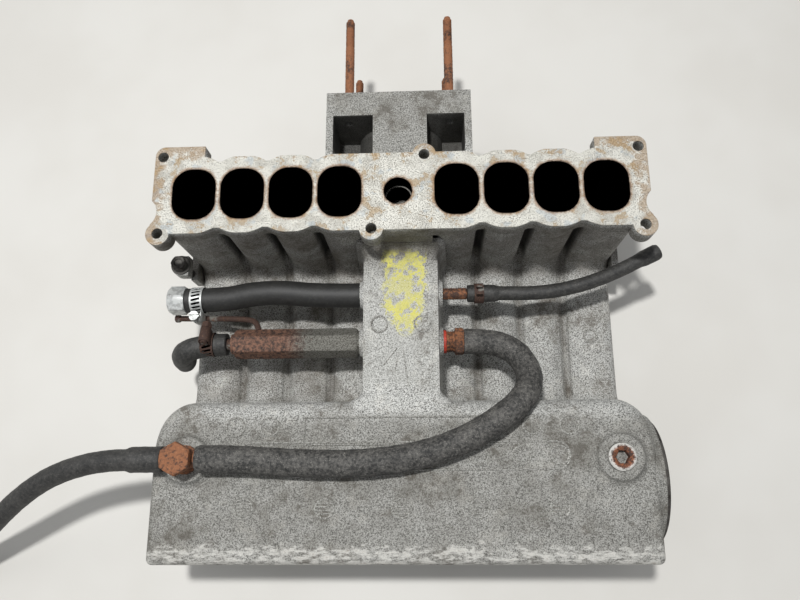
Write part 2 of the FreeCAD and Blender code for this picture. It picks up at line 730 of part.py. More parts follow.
def rod_along(points, radius, name):
    """Round solid along a route, checked against its section times its length."""
    edges, length, smallest = route_edges(points)
    wire = Part.Wire(edges)
    section = Part.Wire([Part.Circle(points[0], points[1] - points[0], radius).toShape()])
    solid = wire.makePipeShell([section], True, True)
    if not solid.isValid() or solid.Volume < 0:
        solid = Part.Solid(solid.Shells[0])
    expected = math.pi * radius ** 2 * length
    print("%-12s length %.1f mm, smallest bend %.1f mm (%.1f diameters), volume / expected %.4f"
          % (name, length, smallest, smallest / (2 * radius), solid.Volume / expected))
    if abs(solid.Volume / expected - 1) > 0.01:
        raise RuntimeError(name + " has the wrong volume")
    return solid


def bored(solid, end, inward, radius, depth):
    """Opens the end of a hose for the barb that goes into it."""
    return solid.cut(Part.makeCylinder(radius, depth, end, inward))


def hose_piece(label, points, radius, bores, swell=None):
    """A hose with opened ends: bores are (end, radius, depth), end 0 or -1.  swell is
    (radius, length) of the stretch that the first barb widens."""
    solid = rod_along(points, radius, label)
    start = (points[1] - points[0]).normalize()
    if swell:
        solid = solid.fuse(Part.makeCylinder(swell[0], swell[1], points[0], start))
    for end, inner, depth in bores:
        inward = start if end == 0 else (points[-2] - points[-1]).normalize()
        solid = bored(solid, points[end], inward, inner, depth)
    thing = doc.addObject("Part::Feature", label)
    thing.Shape = solid.removeSplitter()
    keep(label, thing)


def at_fitting(across, row):
    return Vector(size(across), size(row), size("fitting_height"))


HEATER_END = ("-duct_half - fitting_pad - 151.5", "fitting_back - 2", "fitting_height - 1")


def heater_hose():
    """Half inch hose from the rear left nipple to its plug bolt, slightly bowed."""
    start = at_fitting("-duct_half - fitting_pad", "fitting_back")
    end = Vector(*(size(text) for text in HEATER_END))
    points = [start, start + Vector(-36, 0, 0), start + Vector(-68, 3.6, 1.4),
              start + Vector(-96, 2.4, 0.8), end + Vector(34, 0, 0), end]
    hose_piece("heater_hose", points, size("hose_radius"),
               [(0, size("hose_inner"), size("grip")), (-1, size("hose_inner"), 28)])


def small_hose():
    """Quarter inch hose from the rear right nipple, curving back to a bare end."""
    start = at_fitting("duct_half + fitting_pad + 21", "fitting_back")
    points = [start, start + Vector(30, 0, 0), start + Vector(55, -0.8, 0.5),
              start + Vector(80, 1.6, 1), start + Vector(106, 8, 2),
              start + Vector(130, 17.5, 3), start + Vector(148, 26.5, 4),
              start + Vector(163, 33.4, 4.5)]
    hose_piece("small_hose", points, size("small_radius"),
               [(0, size("small_inner"), 20), (-1, size("small_inner"), 12)], (7.4, 24))


def loop_hose():
    """Half inch hose that leaves the front right adapter, turns back in a tight loop, climbs
    onto the plenum and runs along it to the tee."""
    start = at_fitting("duct_half + fitting_pad + 17", "fitting_front")
    tee = Vector(size("-boss_across + 13"), size("boss_row"), size("tee_height"))
    points = [start] + [Vector(*place_of) for place_of in (
        (73, -11.5, 88), (91.5, -18.5, 91), (102, -33, 97), (103.5, -50.5, 109),
        (93, -66.5, 123), (75.5, -80, 126.2), (54, -92.5, 125.2), (29, -102.5, 124.6),
        (0, -109, 124.4), (-34, -112.2, 124.7), (-70, -111.8, 124.5),
        (-104, -109.8, 125.6), (-131, -108, size("tee_height")))] + [tee]
    hose_piece("loop_hose", points, size("hose_radius"),
               [(0, size("hose_inner"), size("grip")), (-1, size("hose_inner"), size("grip"))])


def free_hose():
    """Three eighths hose from the tee, out over the plenum's end and down to the table."""
    start = Vector(size("-boss_across - 13"), size("boss_row"), size("tee_height"))
    low = size("vacuum_radius") + 0.3
    points = [start] + [Vector(*place_of) for place_of in (
        (-207, -108, size("tee_height")), (-232, -109, 124.5), (-258, -114, 117.5),
        (-283, -122.5, 108),
        (-307, -135.5, 96.5), (-330, -150.5, 82), (-352, -165, 64), (-372, -179, 45),
        (-391.5, -191, 27.5), (-411.5, -200.5, 14), (-434, -207.5, low),
        (-456, -212, low + 0.05))]
    hose_piece("free_hose", points, size("vacuum_radius"),
               [(0, size("vacuum_inner"), size("grip")), (-1, size("vacuum_inner"), 14)],
               (9.8, 26))


def elbow_hose():
    """Moulded elbow on the extension's nipple that turns down to a bare end."""
    start = at_fitting("-duct_half - fitting_pad - 109 - 4", "fitting_front")
    points = [start, start + Vector(-21, 0, 0), start + Vector(-43, -7.5, -2),
              start + Vector(-45.5, -9, -30)]
    hose_piece("elbow_hose", points, size("elbow_radius"),
               [(0, size("vacuum_inner"), 26), (-1, size("vacuum_inner"), 14)])


def vacuum_line():
    """Thin steel line from the extension, bent back to a beaded end."""
    points = [Vector(*place_of) for place_of in (
        (-121.5, -1, 90.5), (-124, 7.5, 86), (-133, 12, 80.5), (-157, 14.2, 75),
        (-200.5, 15.6, 72.5))]
    radius = size("line_radius")
    solid = rod_along(points, radius, "vacuum_line")
    back = (points[-2] - points[-1]).normalize()
    solid = solid.fuse(Part.makeCylinder(radius + 1, 4, points[-1], back))
    thing = doc.addObject("Part::Feature", "VacuumLine")
    thing.Shape = solid
    keep("vacuum_line", thing)


# ---------------------------------------------------------------- clamps

def worm_clamp(label, base, grip_radius, lean):
    """Worm-drive hose clamp whose band lies round the X axis.  lean turns the worm's housing
    about that axis, from straight up towards -Y.  Each of the three pieces is drawn with the
    housing on top, then turned."""
    outer = "%s + band_thick" % grip_radius
    band = ring(label + "_band_ring", ("-band_wide / 2", "0", "0"), "x", outer, grip_radius,
                "band_wide")
    seat = "%s + worm_radius + 1.6" % outer
    case = box(label + "_case", ("-band_wide / 2", "-6.5", outer + " - 0.6"),
               ("band_wide", "13", "2 * worm_radius + 3.6"))
    worm_bore = bar(label + "_worm_bore", ("0", "-6.5", seat), "y", "worm_radius + worm_play",
                    "13")
    under_band = bar(label + "_under", ("-band_wide / 2", "0", "0"), "x", outer, "band_wide")
    worm = bar(label + "_worm", ("0", "-6.5", seat), "y", "worm_radius", "13.4")
    neck = hexagon(label + "_head", ("0", "6.9", seat), "y", "8", "5")
    tip = bar(label + "_tip", ("0", "-7.4", seat), "y", "worm_radius - 0.4", "1")
    parts = {
        "band": band,
        "housing": cut(label + "_housing_cut", case, [worm_bore, under_band]),
        "screw": fuse(label + "_screw_solid", [worm, neck, tip]),
    }
    doc.recompute()
    turn = Rotation(Vector(1, 0, 0), lean)
    where = Vector(*(size(text) for text in base))
    for kind, thing in parts.items():
        thing.Placement = Placement(where, turn)
        keep("%s_%s" % (label, kind), thing)


def clamps():
    """The worm clamp on the heater hose, the one on the elbow and the spring clamp."""
    worm_clamp("heater_clamp", ("-duct_half - fitting_pad - 141", "fitting_back - 2",
                                "fitting_height - 1"), "hose_radius", 90)
    worm_clamp("elbow_clamp", ("-duct_half - fitting_pad - 129", "fitting_front",
                               "fitting_height"), "elbow_radius", -20)
    start = ("duct_half + fitting_pad + 21 + 6", "fitting_back", "fitting_height")
    band = ring("spring_ring", start, "x", "8.6", "7.4", "8")
    tabs = []
    for name, shift in (("front", "-4.2"), ("back", "2.2")):
        tabs.append(box("spring_tab_" + name,
                        (start[0] + " + 1.5", "%s + %s" % (start[1], shift), start[2] + " + 7.6"),
                        ("5", "2", "6")))
    core = bar("spring_core", start, "x", "7.4", "8")
    keep("spring_clamp", cut("SpringClamp", fuse("spring_solid", [band] + tabs), [core]))


# ---------------------------------------------------------------- build, check and write

def check_and_write():
    doc.recompute()
    for thing in doc.Objects:
        for word in thing.State:
            if word in ("Invalid", "Error"):
                raise RuntimeError("%s is %s" % (thing.Name, word))
    for label, thing in pieces.items():
        shape = thing.Shape
        if shape.isNull() or not shape.isValid() or not shape.Solids:
            raise RuntimeError(label + " has no valid solid")
    os.makedirs("parts", exist_ok=True)
    for old in os.listdir("parts"):
        os.remove(os.path.join("parts", old))
    for label, thing in pieces.items():
        thing.Shape.exportStep(os.path.join("parts", label + ".step"))
    print(len(pieces), "pieces written")


port_flange()
for index in range(4):
    runner("runner_left_%d" % (index + 1), -1, index)
    runner("runner_right_%d" % (index + 1), 1, index)
centre_duct()
plenum()
throttle_neck()
side_ears()
throttle_studs()
plenum_end_cap()
pipe_plug()
vacuum_tee()
duct_fittings()
hose_plug_bolt()
lug_bolt()
heater_hose()
small_hose()
loop_hose()
free_hose()
elbow_hose()
vacuum_line()
clamps()
check_and_write()
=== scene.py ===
"""Looks of a V8 upper intake manifold laid upside down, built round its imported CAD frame.

The file is laid out as an add-on and is run as a script.  Shapes are worked out in millimetres, the
CAD's unit, and become metres where a mesh is written.
"""
import math

import bmesh
import bpy
import numpy as np
from mathutils import Matrix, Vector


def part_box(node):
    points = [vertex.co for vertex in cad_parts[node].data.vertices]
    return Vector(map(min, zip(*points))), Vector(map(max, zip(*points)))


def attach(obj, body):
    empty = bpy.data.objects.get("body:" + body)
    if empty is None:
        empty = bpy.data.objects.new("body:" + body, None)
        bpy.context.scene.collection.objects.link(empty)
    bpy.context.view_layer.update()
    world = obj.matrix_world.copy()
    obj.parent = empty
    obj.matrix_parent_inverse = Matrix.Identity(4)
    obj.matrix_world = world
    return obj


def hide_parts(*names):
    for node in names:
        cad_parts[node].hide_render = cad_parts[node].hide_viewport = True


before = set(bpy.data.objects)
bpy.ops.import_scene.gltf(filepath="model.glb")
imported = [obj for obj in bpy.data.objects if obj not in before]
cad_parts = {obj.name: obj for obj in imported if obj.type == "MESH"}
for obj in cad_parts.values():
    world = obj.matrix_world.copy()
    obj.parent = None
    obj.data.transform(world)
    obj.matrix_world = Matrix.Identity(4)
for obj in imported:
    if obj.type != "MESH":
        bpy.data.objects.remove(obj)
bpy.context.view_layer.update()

bl_info = {
    "name": "Intake Manifold Looks",
    "version": (1, 0, 0),
    "blender": (4, 5, 0),
    "location": "View3D > Sidebar > Manifold",
    "description": "Builds the visible pieces of a used cast intake manifold with its hoses",
    "category": "Object",
}

MM = 0.001
TURN = 2 * math.pi
BODY = "manifold"
CAST = "cast_aluminium"
# Angle in degrees from which an edge is drawn sharp, on cast and on turned pieces.
SOFT_EDGE = 60
HARD_EDGE = 24


def corners(node):
    """Lowest and highest corner of a CAD node, in millimetres."""
    low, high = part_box(node)
    return np.array(low) / MM, np.array(high) / MM


def tone(red, green, blue):
    """Linear colour from the display values that a paint chart gives, 0 to 255."""
    return tuple((value / 255) ** 2.2 for value in (red, green, blue)) + (1.0,)


# ---------------------------------------------------------------- settings

def setting(name, description, default, **rest):
    return bpy.props.FloatProperty(name=name, description=description, default=default, **rest)


def length(name, description, millimetres):
    return setting(name, description, millimetres * MM, unit="LENGTH")


def angle_setting(name, description, degrees):
    return setting(name, description, math.radians(degrees), subtype="ANGLE")


def power(name, description, watts):
    return setting(name, description, watts, subtype="POWER", unit="POWER")


def colour(name, description, *display):
    return bpy.props.FloatVectorProperty(name=name, description=description, subtype="COLOR",
                                         size=4, min=0, max=1, default=tone(*display))


class ManifoldSizes(bpy.types.PropertyGroup):
    hump: length("Hump", "Height of the rounded back of a runner above its creases", 8.5)
    groove: length("Groove", "Extra depth of the groove between two upright legs", 8)
    blend: length("Blend", "Fillet between the runners and the plenum's rear wall", 14)
    edge: length("Edge", "Rounding of the cast edges", 1.6)
    mark: length("Mark", "Height of the casting marks above the surface", 0.85)
    pitch: length("Pitch", "Thread pitch of the studs", 1.25)
    wrinkle: length("Wrinkle", "Depth of the wrinkles in the old hoses", 0.22)


class ManifoldColours(bpy.types.PropertyGroup):
    casting: colour("Casting", "Bare cast aluminium", 204, 204, 199)
    pepper: colour("Pepper", "Dark grain in the casting", 76, 75, 71)
    # Also the colour of the painted shade on the runner legs and in the creases between the
    # runners.
    dirt_and_shade: colour("Dirt", "Oily dirt on the casting", 84, 76, 66)
    machined: colour("Machined face", "Scraped port face", 204, 202, 192)
    paint: colour("Paint", "Marking paint on the duct", 208, 202, 92)
    rust_light: colour("Light rust", "Fresh orange rust", 136, 90, 62)
    rust_dark: colour("Dark rust", "Old brown rust", 66, 49, 42)
    zinc: colour("Zinc", "Zinc plate gone white", 208, 210, 207)
    rubber: colour("Rubber", "Clean black rubber", 36, 36, 35)
    dust: colour("Dust", "Grey dust on old rubber", 100, 98, 94)
    seal: colour("Seal", "Red sealing washer", 178, 62, 46)
    # Near black of the painted shade in the ports, the throttle bore and the clamp slots.
    soot: colour("Soot", "Inside of the ports", 5, 4, 4)
    floor: colour("Floor", "Pale table", 208, 206, 200)


class ManifoldStage(bpy.types.PropertyGroup):
    lens: setting("Lens", "Focal length", 31.5, subtype="DISTANCE_CAMERA")
    elevation: angle_setting("Elevation", "Angle of the view down", 75.03)
    heading: angle_setting("Heading", "Turn of the view from +Y", -8.92)
    roll: angle_setting("Roll", "Roll of the camera", 9.53)
    place: bpy.props.FloatVectorProperty(name="Place", description="Where the camera stands",
                                         default=(0.0227, -0.1276, 0.6671),
                                         subtype="TRANSLATION")
    key: power("Key", "Power of the main light", 25)
    side: power("Side", "Power of the light on the left", 2.2)
    sky: setting("Sky", "Strength of the light all round", 0.46)


# ---------------------------------------------------------------- meshes from surfaces

def quads(rows, columns, closed_rows, closed_columns):
    """Faces over a grid of rows by columns, which may close on itself either way."""
    i = np.arange(rows if closed_rows else rows - 1)
    j = np.arange(columns if closed_columns else columns - 1)
    i, j = (part.ravel() for part in np.meshgrid(i, j, indexing="ij"))
    after_i = (i + 1) % rows
    after_j = (j + 1) % columns
    return np.stack([i * columns + j, after_i * columns + j, after_i * columns + after_j,
                     i * columns + after_j], 1)


def mesh_of(name, shells):
    """One mesh from closed shells, each a grid of points with its two closures and, if it has two
    finishes, the first row that takes the second one.  A shell whose volume comes out negative,
    by the sum of a.(b x c) over its faces, is turned outwards."""
    places, faces, second, count = [], [], [], 0
    for points, closed_rows, closed_columns, *inner_row in shells:
        rows, columns = points.shape[:2]
        face = quads(rows, columns, closed_rows, closed_columns)
        flat = points.reshape(-1, 3)
        a, b, c, d = (flat[face[:, k]] - flat.mean(0) for k in range(4))
        volume = np.einsum("ij,ij->", a, np.cross(b, c) + np.cross(c, d))
        second.append(face[:, 0] // columns >= (inner_row[0] if inner_row else rows))
        faces.append((face if volume > 0 else face[:, ::-1]) + count)
        places.append(flat)
        count += len(flat)
    mesh = bpy.data.meshes.new(name)
    mesh.from_pydata(np.concatenate(places) * MM, [], np.concatenate(faces).tolist())
    mesh.polygons.foreach_set("material_index", np.concatenate(second).astype(np.int32))
    weld(mesh)
    return mesh


def weld(mesh, flatten=False):
    """Merges doubled points, and joins faces that lie in one plane if asked to."""
    work = bmesh.new()
    work.from_mesh(mesh)
    bmesh.ops.remove_doubles(work, verts=work.verts, dist=2e-6)
    bmesh.ops.dissolve_degenerate(work, edges=work.edges, dist=1e-6)
    if flatten:
        bmesh.ops.dissolve_limit(work, angle_limit=math.radians(0.6), verts=work.verts,
                                 edges=work.edges)
    work.to_mesh(mesh)
    work.free()


def piece(name, mesh, finishes, slot, replaced=(), body=BODY, sharp=38, bevel=0.0):
    """Object for a finished mesh, with its finishes, given as their names with a space between,
    its body and the CAD nodes that it stands for."""
    thing = bpy.data.objects.new(name, mesh)
    bpy.context.scene.collection.objects.link(thing)
    if mesh.materials:
        mesh.materials.clear()
    for finish in finishes.split():
        mesh.materials.append(finish_of(finish))
    mesh.shade_smooth()
    mesh.set_sharp_from_angle(angle=math.radians(sharp))
    if bevel:
        rounding = thing.modifiers.new("Rounding", "BEVEL")
        rounding.width = bevel * MM
        rounding.segments = 3
        rounding.limit_method = "ANGLE"
        rounding.angle_limit = math.radians(40)
        rounding.harden_normals = True
    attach(thing, body)
    if replaced:
        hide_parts(*replaced)
    return thing


def made(name, shells, finishes, slot, **rest):
    return piece(name, mesh_of(name, shells), finishes, slot, **rest)


def copied(node, finishes, slot, bevel, ending="_casting"):
    """Copy of a CAD node with its doubles merged and its edges rounded."""
    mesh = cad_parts[node].data.copy()
    mesh.name = node + ending
    weld(mesh, flatten=True)
    return piece(node + ending, mesh, finishes, slot, replaced=(node,), bevel=bevel)


AXES = {
    "x": np.array([[1.0, 0, 0], [0, 0, -1], [0, 1, 0]]),
    "y": np.array([[0.0, 1, 0], [1, 0, 0], [0, 0, -1]]),
    "z": np.array([[0.0, 0, 1], [1, 0, 0], [0, 1, 0]]),
}


def eased(profile, ease, closed=False):
    """Profile with each corner replaced by a short curve, a weighted mean of the corner and the
    points at most ease away from it on both sides."""
    points = np.array(profile, float)
    before = np.roll(points, 1, 0)
    after = np.roll(points, -1, 0)

    def towards(other):
        run = np.linalg.norm(other - points, axis=1, keepdims=True)
        return points + (other - points) * np.minimum(0.45, ease / np.maximum(run, 1e-9))

    start, end = towards(before), towards(after)
    if not closed:
        start[[0, -1]] = points[[0, -1]]
        end[[0, -1]] = points[[0, -1]]
    t = np.array([0, 0.25, 0.5, 0.75, 1])[None, :, None]
    curve = ((1 - t) ** 2 * start[:, None] + 2 * t * (1 - t) * points[:, None]
             + t ** 2 * end[:, None])
    return curve.reshape(-1, 2)


def filled(profile, step):
    """Profile with its long runs divided into steps."""
    points = np.array(profile, float)
    run = np.concatenate([[0], np.cumsum(np.linalg.norm(np.diff(points, axis=0), axis=1))])
    extra = np.arange(0, run[-1], step)
    where = np.unique(np.concatenate([run, extra]))
    return np.stack([np.interp(where, run, points[:, k]) for k in range(2)], 1)


def lathe(profile, base, axis="z", around=64, flats=0.0, spin=0.0, thread=None, closed=False,
          rough=0.0, slot=None):
    """Turned surface.  The profile gives radius and distance along the axis, and the angle goes
    round it.  flats, one width or one for each row, takes the smaller of the turned radius and a
    hexagon's.  thread=(start, end, pitch, depth) takes a triangle wave of distance over pitch
    minus angle off the radius, rough adds a sum of sines for a pitted surface, and slot=(start,
    half width, depth) sinks what lies above start and near the middle plane."""
    radius, height = (column[:, None] for column in np.array(profile, float).T)
    angle = np.arange(around) * TURN / around
    turned = radius * np.ones(around)
    if thread:
        start, end, pitch, depth = thread
        turn = height / pitch - angle / TURN
        wave = np.abs(2 * (turn - np.floor(turn)) - 1)
        inside = np.clip((height - start) / pitch, 0, 1) * np.clip((end - height) / pitch, 0, 1)
        turned = turned - depth * wave * inside
    if np.any(flats):
        face = np.radians((np.degrees(angle) - spin) % 60 - 30)
        wide = np.array(flats, float).reshape(-1, 1) / 2 / np.cos(face)
        turned = np.where(wide > 0, np.minimum(turned, wide), turned)
    if rough:
        turned = turned + np.minimum(turned, 1) * rough * lumps(height, angle)
    if slot:
        start, half, depth = slot
        height = height - depth * (height > start) * (np.abs(turned * np.sin(angle)) < half)
    along, across, up = AXES[axis] if isinstance(axis, str) else axis
    height = height * np.ones(around)
    points = (np.array(base, float) + height[..., None] * along
              + (turned * np.cos(angle))[..., None] * across
              + (turned * np.sin(angle))[..., None] * up)
    return points, closed, True


def turned(node, profile, base, axis, finish, slot, ending="_turned", sharp=38, **shape):
    """Piece turned from one profile, in place of the CAD node whose name it carries."""
    made(node + ending, [lathe(profile, base, axis, **shape)], finish, slot, replaced=(node,),
         sharp=sharp)


def lumps(distance, angle):
    """Sum of sines of distance and angle, between about -1 and 1."""
    return (0.4 * np.sin(1.7 * distance + 3 * angle) + 0.3 * np.sin(2.9 * distance - 5 * angle + 1)
            + 0.3 * np.sin(0.6 * distance + 2 * angle + 4))


def rounded_section(front, back, low, top, front_round, back_round, foot_round, inset):
    """Closed outline in Y and Z of a block with rounded edges, drawn inset from its faces.  Each
    argument is a column of values, one for each place along the block."""
    quarter = np.linspace(0, math.pi / 2, 9)
    run = np.linspace(0, 1, 14)[1:-1]

    def arc(y, z, radius, start):
        kept = np.maximum(radius - inset, 0.2)
        turned = quarter + start
        middle_y = y - kept * np.sign(math.cos(start + math.pi / 4))
        middle_z = z - kept * np.sign(math.sin(start + math.pi / 4))
        return middle_y + kept * np.cos(turned), middle_z + kept * np.sin(turned)

    rings = [arc(front + inset, low + inset, foot_round, math.pi),
             arc(back - inset, low + inset, foot_round, 1.5 * math.pi),
             arc(back - inset, top - inset, back_round, 0),
             arc(front + inset, top - inset, front_round, 0.5 * math.pi)]
    across, height = [], []
    for (ya, za), (yb, zb) in zip(rings, rings[1:] + rings[:1]):
        across += [ya, ya[:, -1:] + (yb[:, :1] - ya[:, -1:]) * run]
        height += [za, za[:, -1:] + (zb[:, :1] - za[:, -1:]) * run]
    return np.concatenate(across, 1), np.concatenate(height, 1)


def capped(points):
    """Rings of points with a middle point added as a ring at each end, which closes them."""
    first = np.repeat(points[:1].mean(1, keepdims=True), points.shape[1], 1)
    last = np.repeat(points[-1:].mean(1, keepdims=True), points.shape[1], 1)
    return np.concatenate([first, points, last])


def smooth(value, low, high):
    """0 below low, 1 above high, and a smooth step between them."""
    t = np.clip((value - low) / (high - low), 0, 1)
    return t * t * (3 - 2 * t)


# ---------------------------------------------------------------- hoses

def centreline(name, route):
    """Points of the smooth line that has the route's points as its control points, in mm."""
    curve = bpy.data.curves.new(name + "_route", "CURVE")
    curve.dimensions = "3D"
    curve.resolution_u = 14
    spline = curve.splines.new("NURBS")
    spline.points.add(len(route) - 1)
    for point, place in zip(spline.points, route):
        point.co = (*place, 1)
    spline.order_u = 3
    spline.use_endpoint_u = True
    holder = bpy.data.objects.new(name + "_route", curve)
    bpy.context.scene.collection.objects.link(holder)
    line = bpy.data.meshes.new_from_object(holder)
    places = np.empty(len(line.vertices) * 3)
    line.vertices.foreach_get("co", places)
    bpy.data.objects.remove(holder)
    bpy.data.curves.remove(curve)
    bpy.data.meshes.remove(line)
    return places.reshape(-1, 3) / MM


def run_of(line):
    """Distance along a line at each of its points."""
    return np.concatenate([[0], np.cumsum(np.linalg.norm(np.diff(line, axis=0), axis=1))])


def tube(line, sections, around=44, up=(0, 0, 1), wrinkle=0.0):
    """Surface of a hose: circles square to the line, whose distance along it and radius are the
    sections, so that a section may turn back into the bore.  wrinkle adds a sum of sines."""
    run = run_of(line)
    where, radius = np.array(sections, float).T
    centre = np.stack([np.interp(where, run, line[:, k]) for k in range(3)], 1)
    slope = np.gradient(line, run, axis=0)
    ahead = np.stack([np.interp(where, run, slope[:, k]) for k in range(3)], 1)
    ahead /= np.linalg.norm(ahead, axis=1, keepdims=True)
    side = np.cross(ahead, up)
    side /= np.linalg.norm(side, axis=1, keepdims=True)
    top = np.cross(side, ahead)
    angle = np.arange(around) * TURN / around
    radius = radius[:, None] * np.ones(around)
    if wrinkle:
        along = where[:, None]
        fold = (np.sin(0.55 * along + 2 * angle) + np.sin(0.31 * along - 3 * angle + 2)
                + 0.7 * np.sin(1.3 * along + 5 * angle + np.sin(0.2 * along) * 2))
        radius = radius + wrinkle * fold * 0.4 * np.minimum(radius / radius.max(), 1)
    points = (centre[:, None] + (radius * np.cos(angle))[..., None] * side[:, None]
              + (radius * np.sin(angle))[..., None] * top[:, None])
    return points, False, True


def hose_sections(total, outer, inner, bore_start, bore_end, swells=(), step=1.6, lip=0.7):
    """Distance and radius of a hose's sections: out of the bore at its start, over the lip, along
    the outside with its swellings, over the other lip and into the bore at its end."""
    where = np.arange(lip, total - lip, step)
    radius = np.full(len(where), float(outer))
    for start, end, swollen in swells:
        part = smooth(where, start - 6, start) * (1 - smooth(where, end, end + 6))
        radius = radius + (swollen - outer) * part
    first, last = radius[0], radius[-1]
    head = [(bore_start, 0), (bore_start, inner), (lip, inner), (0, inner + lip),
            (0, first - lip)]
    tail = [(total - 0.001, last - lip), (total - 0.001, inner + lip), (total - lip, inner),
            (total - bore_end, inner), (total - bore_end, 0)]
    return head + list(zip(where, radius)) + tail


ROUTES = {
    "heater_hose": [
        (-0.035, 0.030, 0.088), (-0.071, 0.030, 0.088), (-0.103, 0.0336, 0.0894),
        (-0.131, 0.0324, 0.0888), (-0.1525, 0.028, 0.087), (-0.1865, 0.028, 0.087)],
    "small_hose": [
        (0.056, 0.030, 0.088), (0.086, 0.030, 0.088), (0.111, 0.0292, 0.0885),
        (0.136, 0.0316, 0.089), (0.162, 0.038, 0.090), (0.186, 0.0475, 0.091),
        (0.204, 0.0565, 0.092), (0.219, 0.0634, 0.0925)],
    "loop_hose": [
        (0.052, -0.0115, 0.088), (0.073, -0.0115, 0.088), (0.0915, -0.0185, 0.091),
        (0.102, -0.033, 0.097), (0.1035, -0.0505, 0.109), (0.093, -0.0665, 0.123),
        (0.0755, -0.080, 0.1262), (0.054, -0.0925, 0.1252), (0.029, -0.1025, 0.1246),
        (0.0, -0.109, 0.1244), (-0.034, -0.1122, 0.1247), (-0.070, -0.1118, 0.1245),
        (-0.104, -0.1098, 0.1256), (-0.131, -0.108, 0.1278), (-0.155, -0.108, 0.1278)],
    "free_hose": [
        (-0.181, -0.108, 0.1278), (-0.207, -0.108, 0.1278), (-0.232, -0.109, 0.1245),
        (-0.258, -0.114, 0.1175), (-0.283, -0.1225, 0.108), (-0.307, -0.1355, 0.0965),
        (-0.330, -0.1505, 0.082), (-0.352, -0.165, 0.064), (-0.372, -0.179, 0.045),
        (-0.3915, -0.191, 0.0275), (-0.4115, -0.2005, 0.014), (-0.434, -0.2075, 0.0086),
        (-0.456, -0.212, 0.00865)],
    "elbow_hose": [
        (-0.148, -0.0115, 0.088), (-0.169, -0.0115, 0.088), (-0.191, -0.019, 0.086),
        (-0.1935, -0.0205, 0.058)],
    "vacuum_line": [
        (-0.1215, -0.001, 0.0905), (-0.124, 0.0075, 0.086), (-0.133, 0.012, 0.0805),
        (-0.157, 0.0142, 0.075), (-0.2005, 0.0156, 0.0725)],
}


FIRST_BORE = 3
# Outer and inner radius, depth of the bore at the far end, swellings as start, end and radius,
# finish, share of the wrinkles, what is on the far end, length in metres, pieces that hold it.
HOSES = {
    "heater_hose": (10.5, 6.45, 3, (), "rubber", 0.3, "plug", 0.152,
                    ["hose_plug_bolt_turned", "heater_clamp_slotted_band",
                     "heater_clamp_cover", "heater_clamp_worm_screw"]),
    "small_hose": (6, 3.65, 32, ((0, 22, 7.4), (156, 172, 6.9)), "worn_rubber", 0.5, "bare",
                   0.169, ["spring_clamp_bent"]),
    "loop_hose": (10.5, 6.45, 3, (), "old_rubber", 1.0, "object", 0.362, []),
    "free_hose": (8.3, 4.85, 32, ((0, 24, 9.8),), "worn_rubber", 0.7, "bare", 0.331, []),
}


# ---------------------------------------------------------------- shader maths

def arithmetic(operation):
    """A Math node's operation as a method, and the same with its two values swapped."""
    return (lambda value, other: value.maths(operation, value, other),
            lambda value, other: value.maths(operation, other, value))


class Value:
    """A number or colour that varies over a surface.  Arithmetic on it adds Math nodes, and over
    and under take the larger and the smaller of two values."""

    def __init__(self, finish, socket):
        self.finish = finish
        self.socket = socket

    def maths(self, operation, first, second=0.0):
        return self.finish.node("ShaderNodeMath", {"operation": operation},
                                {0: first, 1: second})

    __add__, __radd__ = arithmetic("ADD")
    __sub__, __rsub__ = arithmetic("SUBTRACT")
    __mul__, __rmul__ = arithmetic("MULTIPLY")
    __truediv__ = arithmetic("DIVIDE")[0]
    over = arithmetic("MAXIMUM")[0]
    under = arithmetic("MINIMUM")[0]

    def __abs__(self):
        return self.maths("ABSOLUTE", self)

    def root(self):
        return self.maths("SQRT", self)

    def rounded(self):
        return self.maths("ROUND", self)

    def step(self, low, high):
        """Smooth step from 0 at low to 1 at high; high may be the smaller."""
        if high < low:
            return 1 - self.step(high, low)
        return self.finish.node("ShaderNodeMapRange", {"interpolation_type": "SMOOTHSTEP"},
                                {"Value": self, "From Min": low, "From Max": high})


class Finish:
    """A material being put together.  Lengths in it are metres."""

    def __init__(self, name):
        self.material = bpy.data.materials.new(name)
        self.material.use_nodes = True
        self.tree = self.material.node_tree
        self.tree.nodes.clear()
        self.place = self.node("ShaderNodeTexCoord", output="Object")
        split = self.node("ShaderNodeSeparateXYZ", inputs={0: self.place})
        outputs = split.socket.node.outputs
        self.x, self.y, self.z = (Value(self, outputs[k]) for k in range(3))

    def node(self, kind, settings=None, inputs=None, output=0):
        new = self.tree.nodes.new(kind)
        for name, value in (settings or {}).items():
            setattr(new, name, value)
        for name, value in (inputs or {}).items():
            if isinstance(value, Value):
                self.tree.links.new(value.socket, new.inputs[name])
            else:
                new.inputs[name].default_value = value
        return Value(self, new.outputs[output]) if len(new.outputs) else None

    def noise(self, size, detail=3.0, rough=0.6, stretch=(1, 1, 1)):
        """Noise between 0 and 1 whose features are about size millimetres across."""
        place = self.place
        if stretch != (1, 1, 1):
            place = self.node("ShaderNodeMapping", {"vector_type": "POINT"},
                              {"Vector": self.place, "Scale": stretch})
        return self.node("ShaderNodeTexNoise", {},
                         {"Vector": place, "Scale": 1 / (size * MM), "Detail": detail,
                          "Roughness": rough})

    def mix(self, first, second, share, blend="MIX"):
        return self.node("ShaderNodeMix", {"data_type": "RGBA", "blend_type": blend},
                         {0: share, 6: first, 7: second}, 2)

    def bump(self, height, distance, strength=1.0, under=None):
        inputs = {"Strength": strength, "Distance": distance * MM, "Height": height}
        if under is not None:
            inputs["Normal"] = under
        return self.node("ShaderNodeBump", {}, inputs)

    def surface(self, base, roughness, metallic, normal, shine=0.5):
        """Principled shader on the output."""
        shader = self.node("ShaderNodeBsdfPrincipled", {}, {
            "Base Color": base, "Roughness": roughness, "Metallic": metallic, "Normal": normal,
            "Specular IOR Level": shine})
        self.node("ShaderNodeOutputMaterial", {}, {"Surface": shader})
        return self.material


def colours():
    return bpy.context.scene.manifold_colours


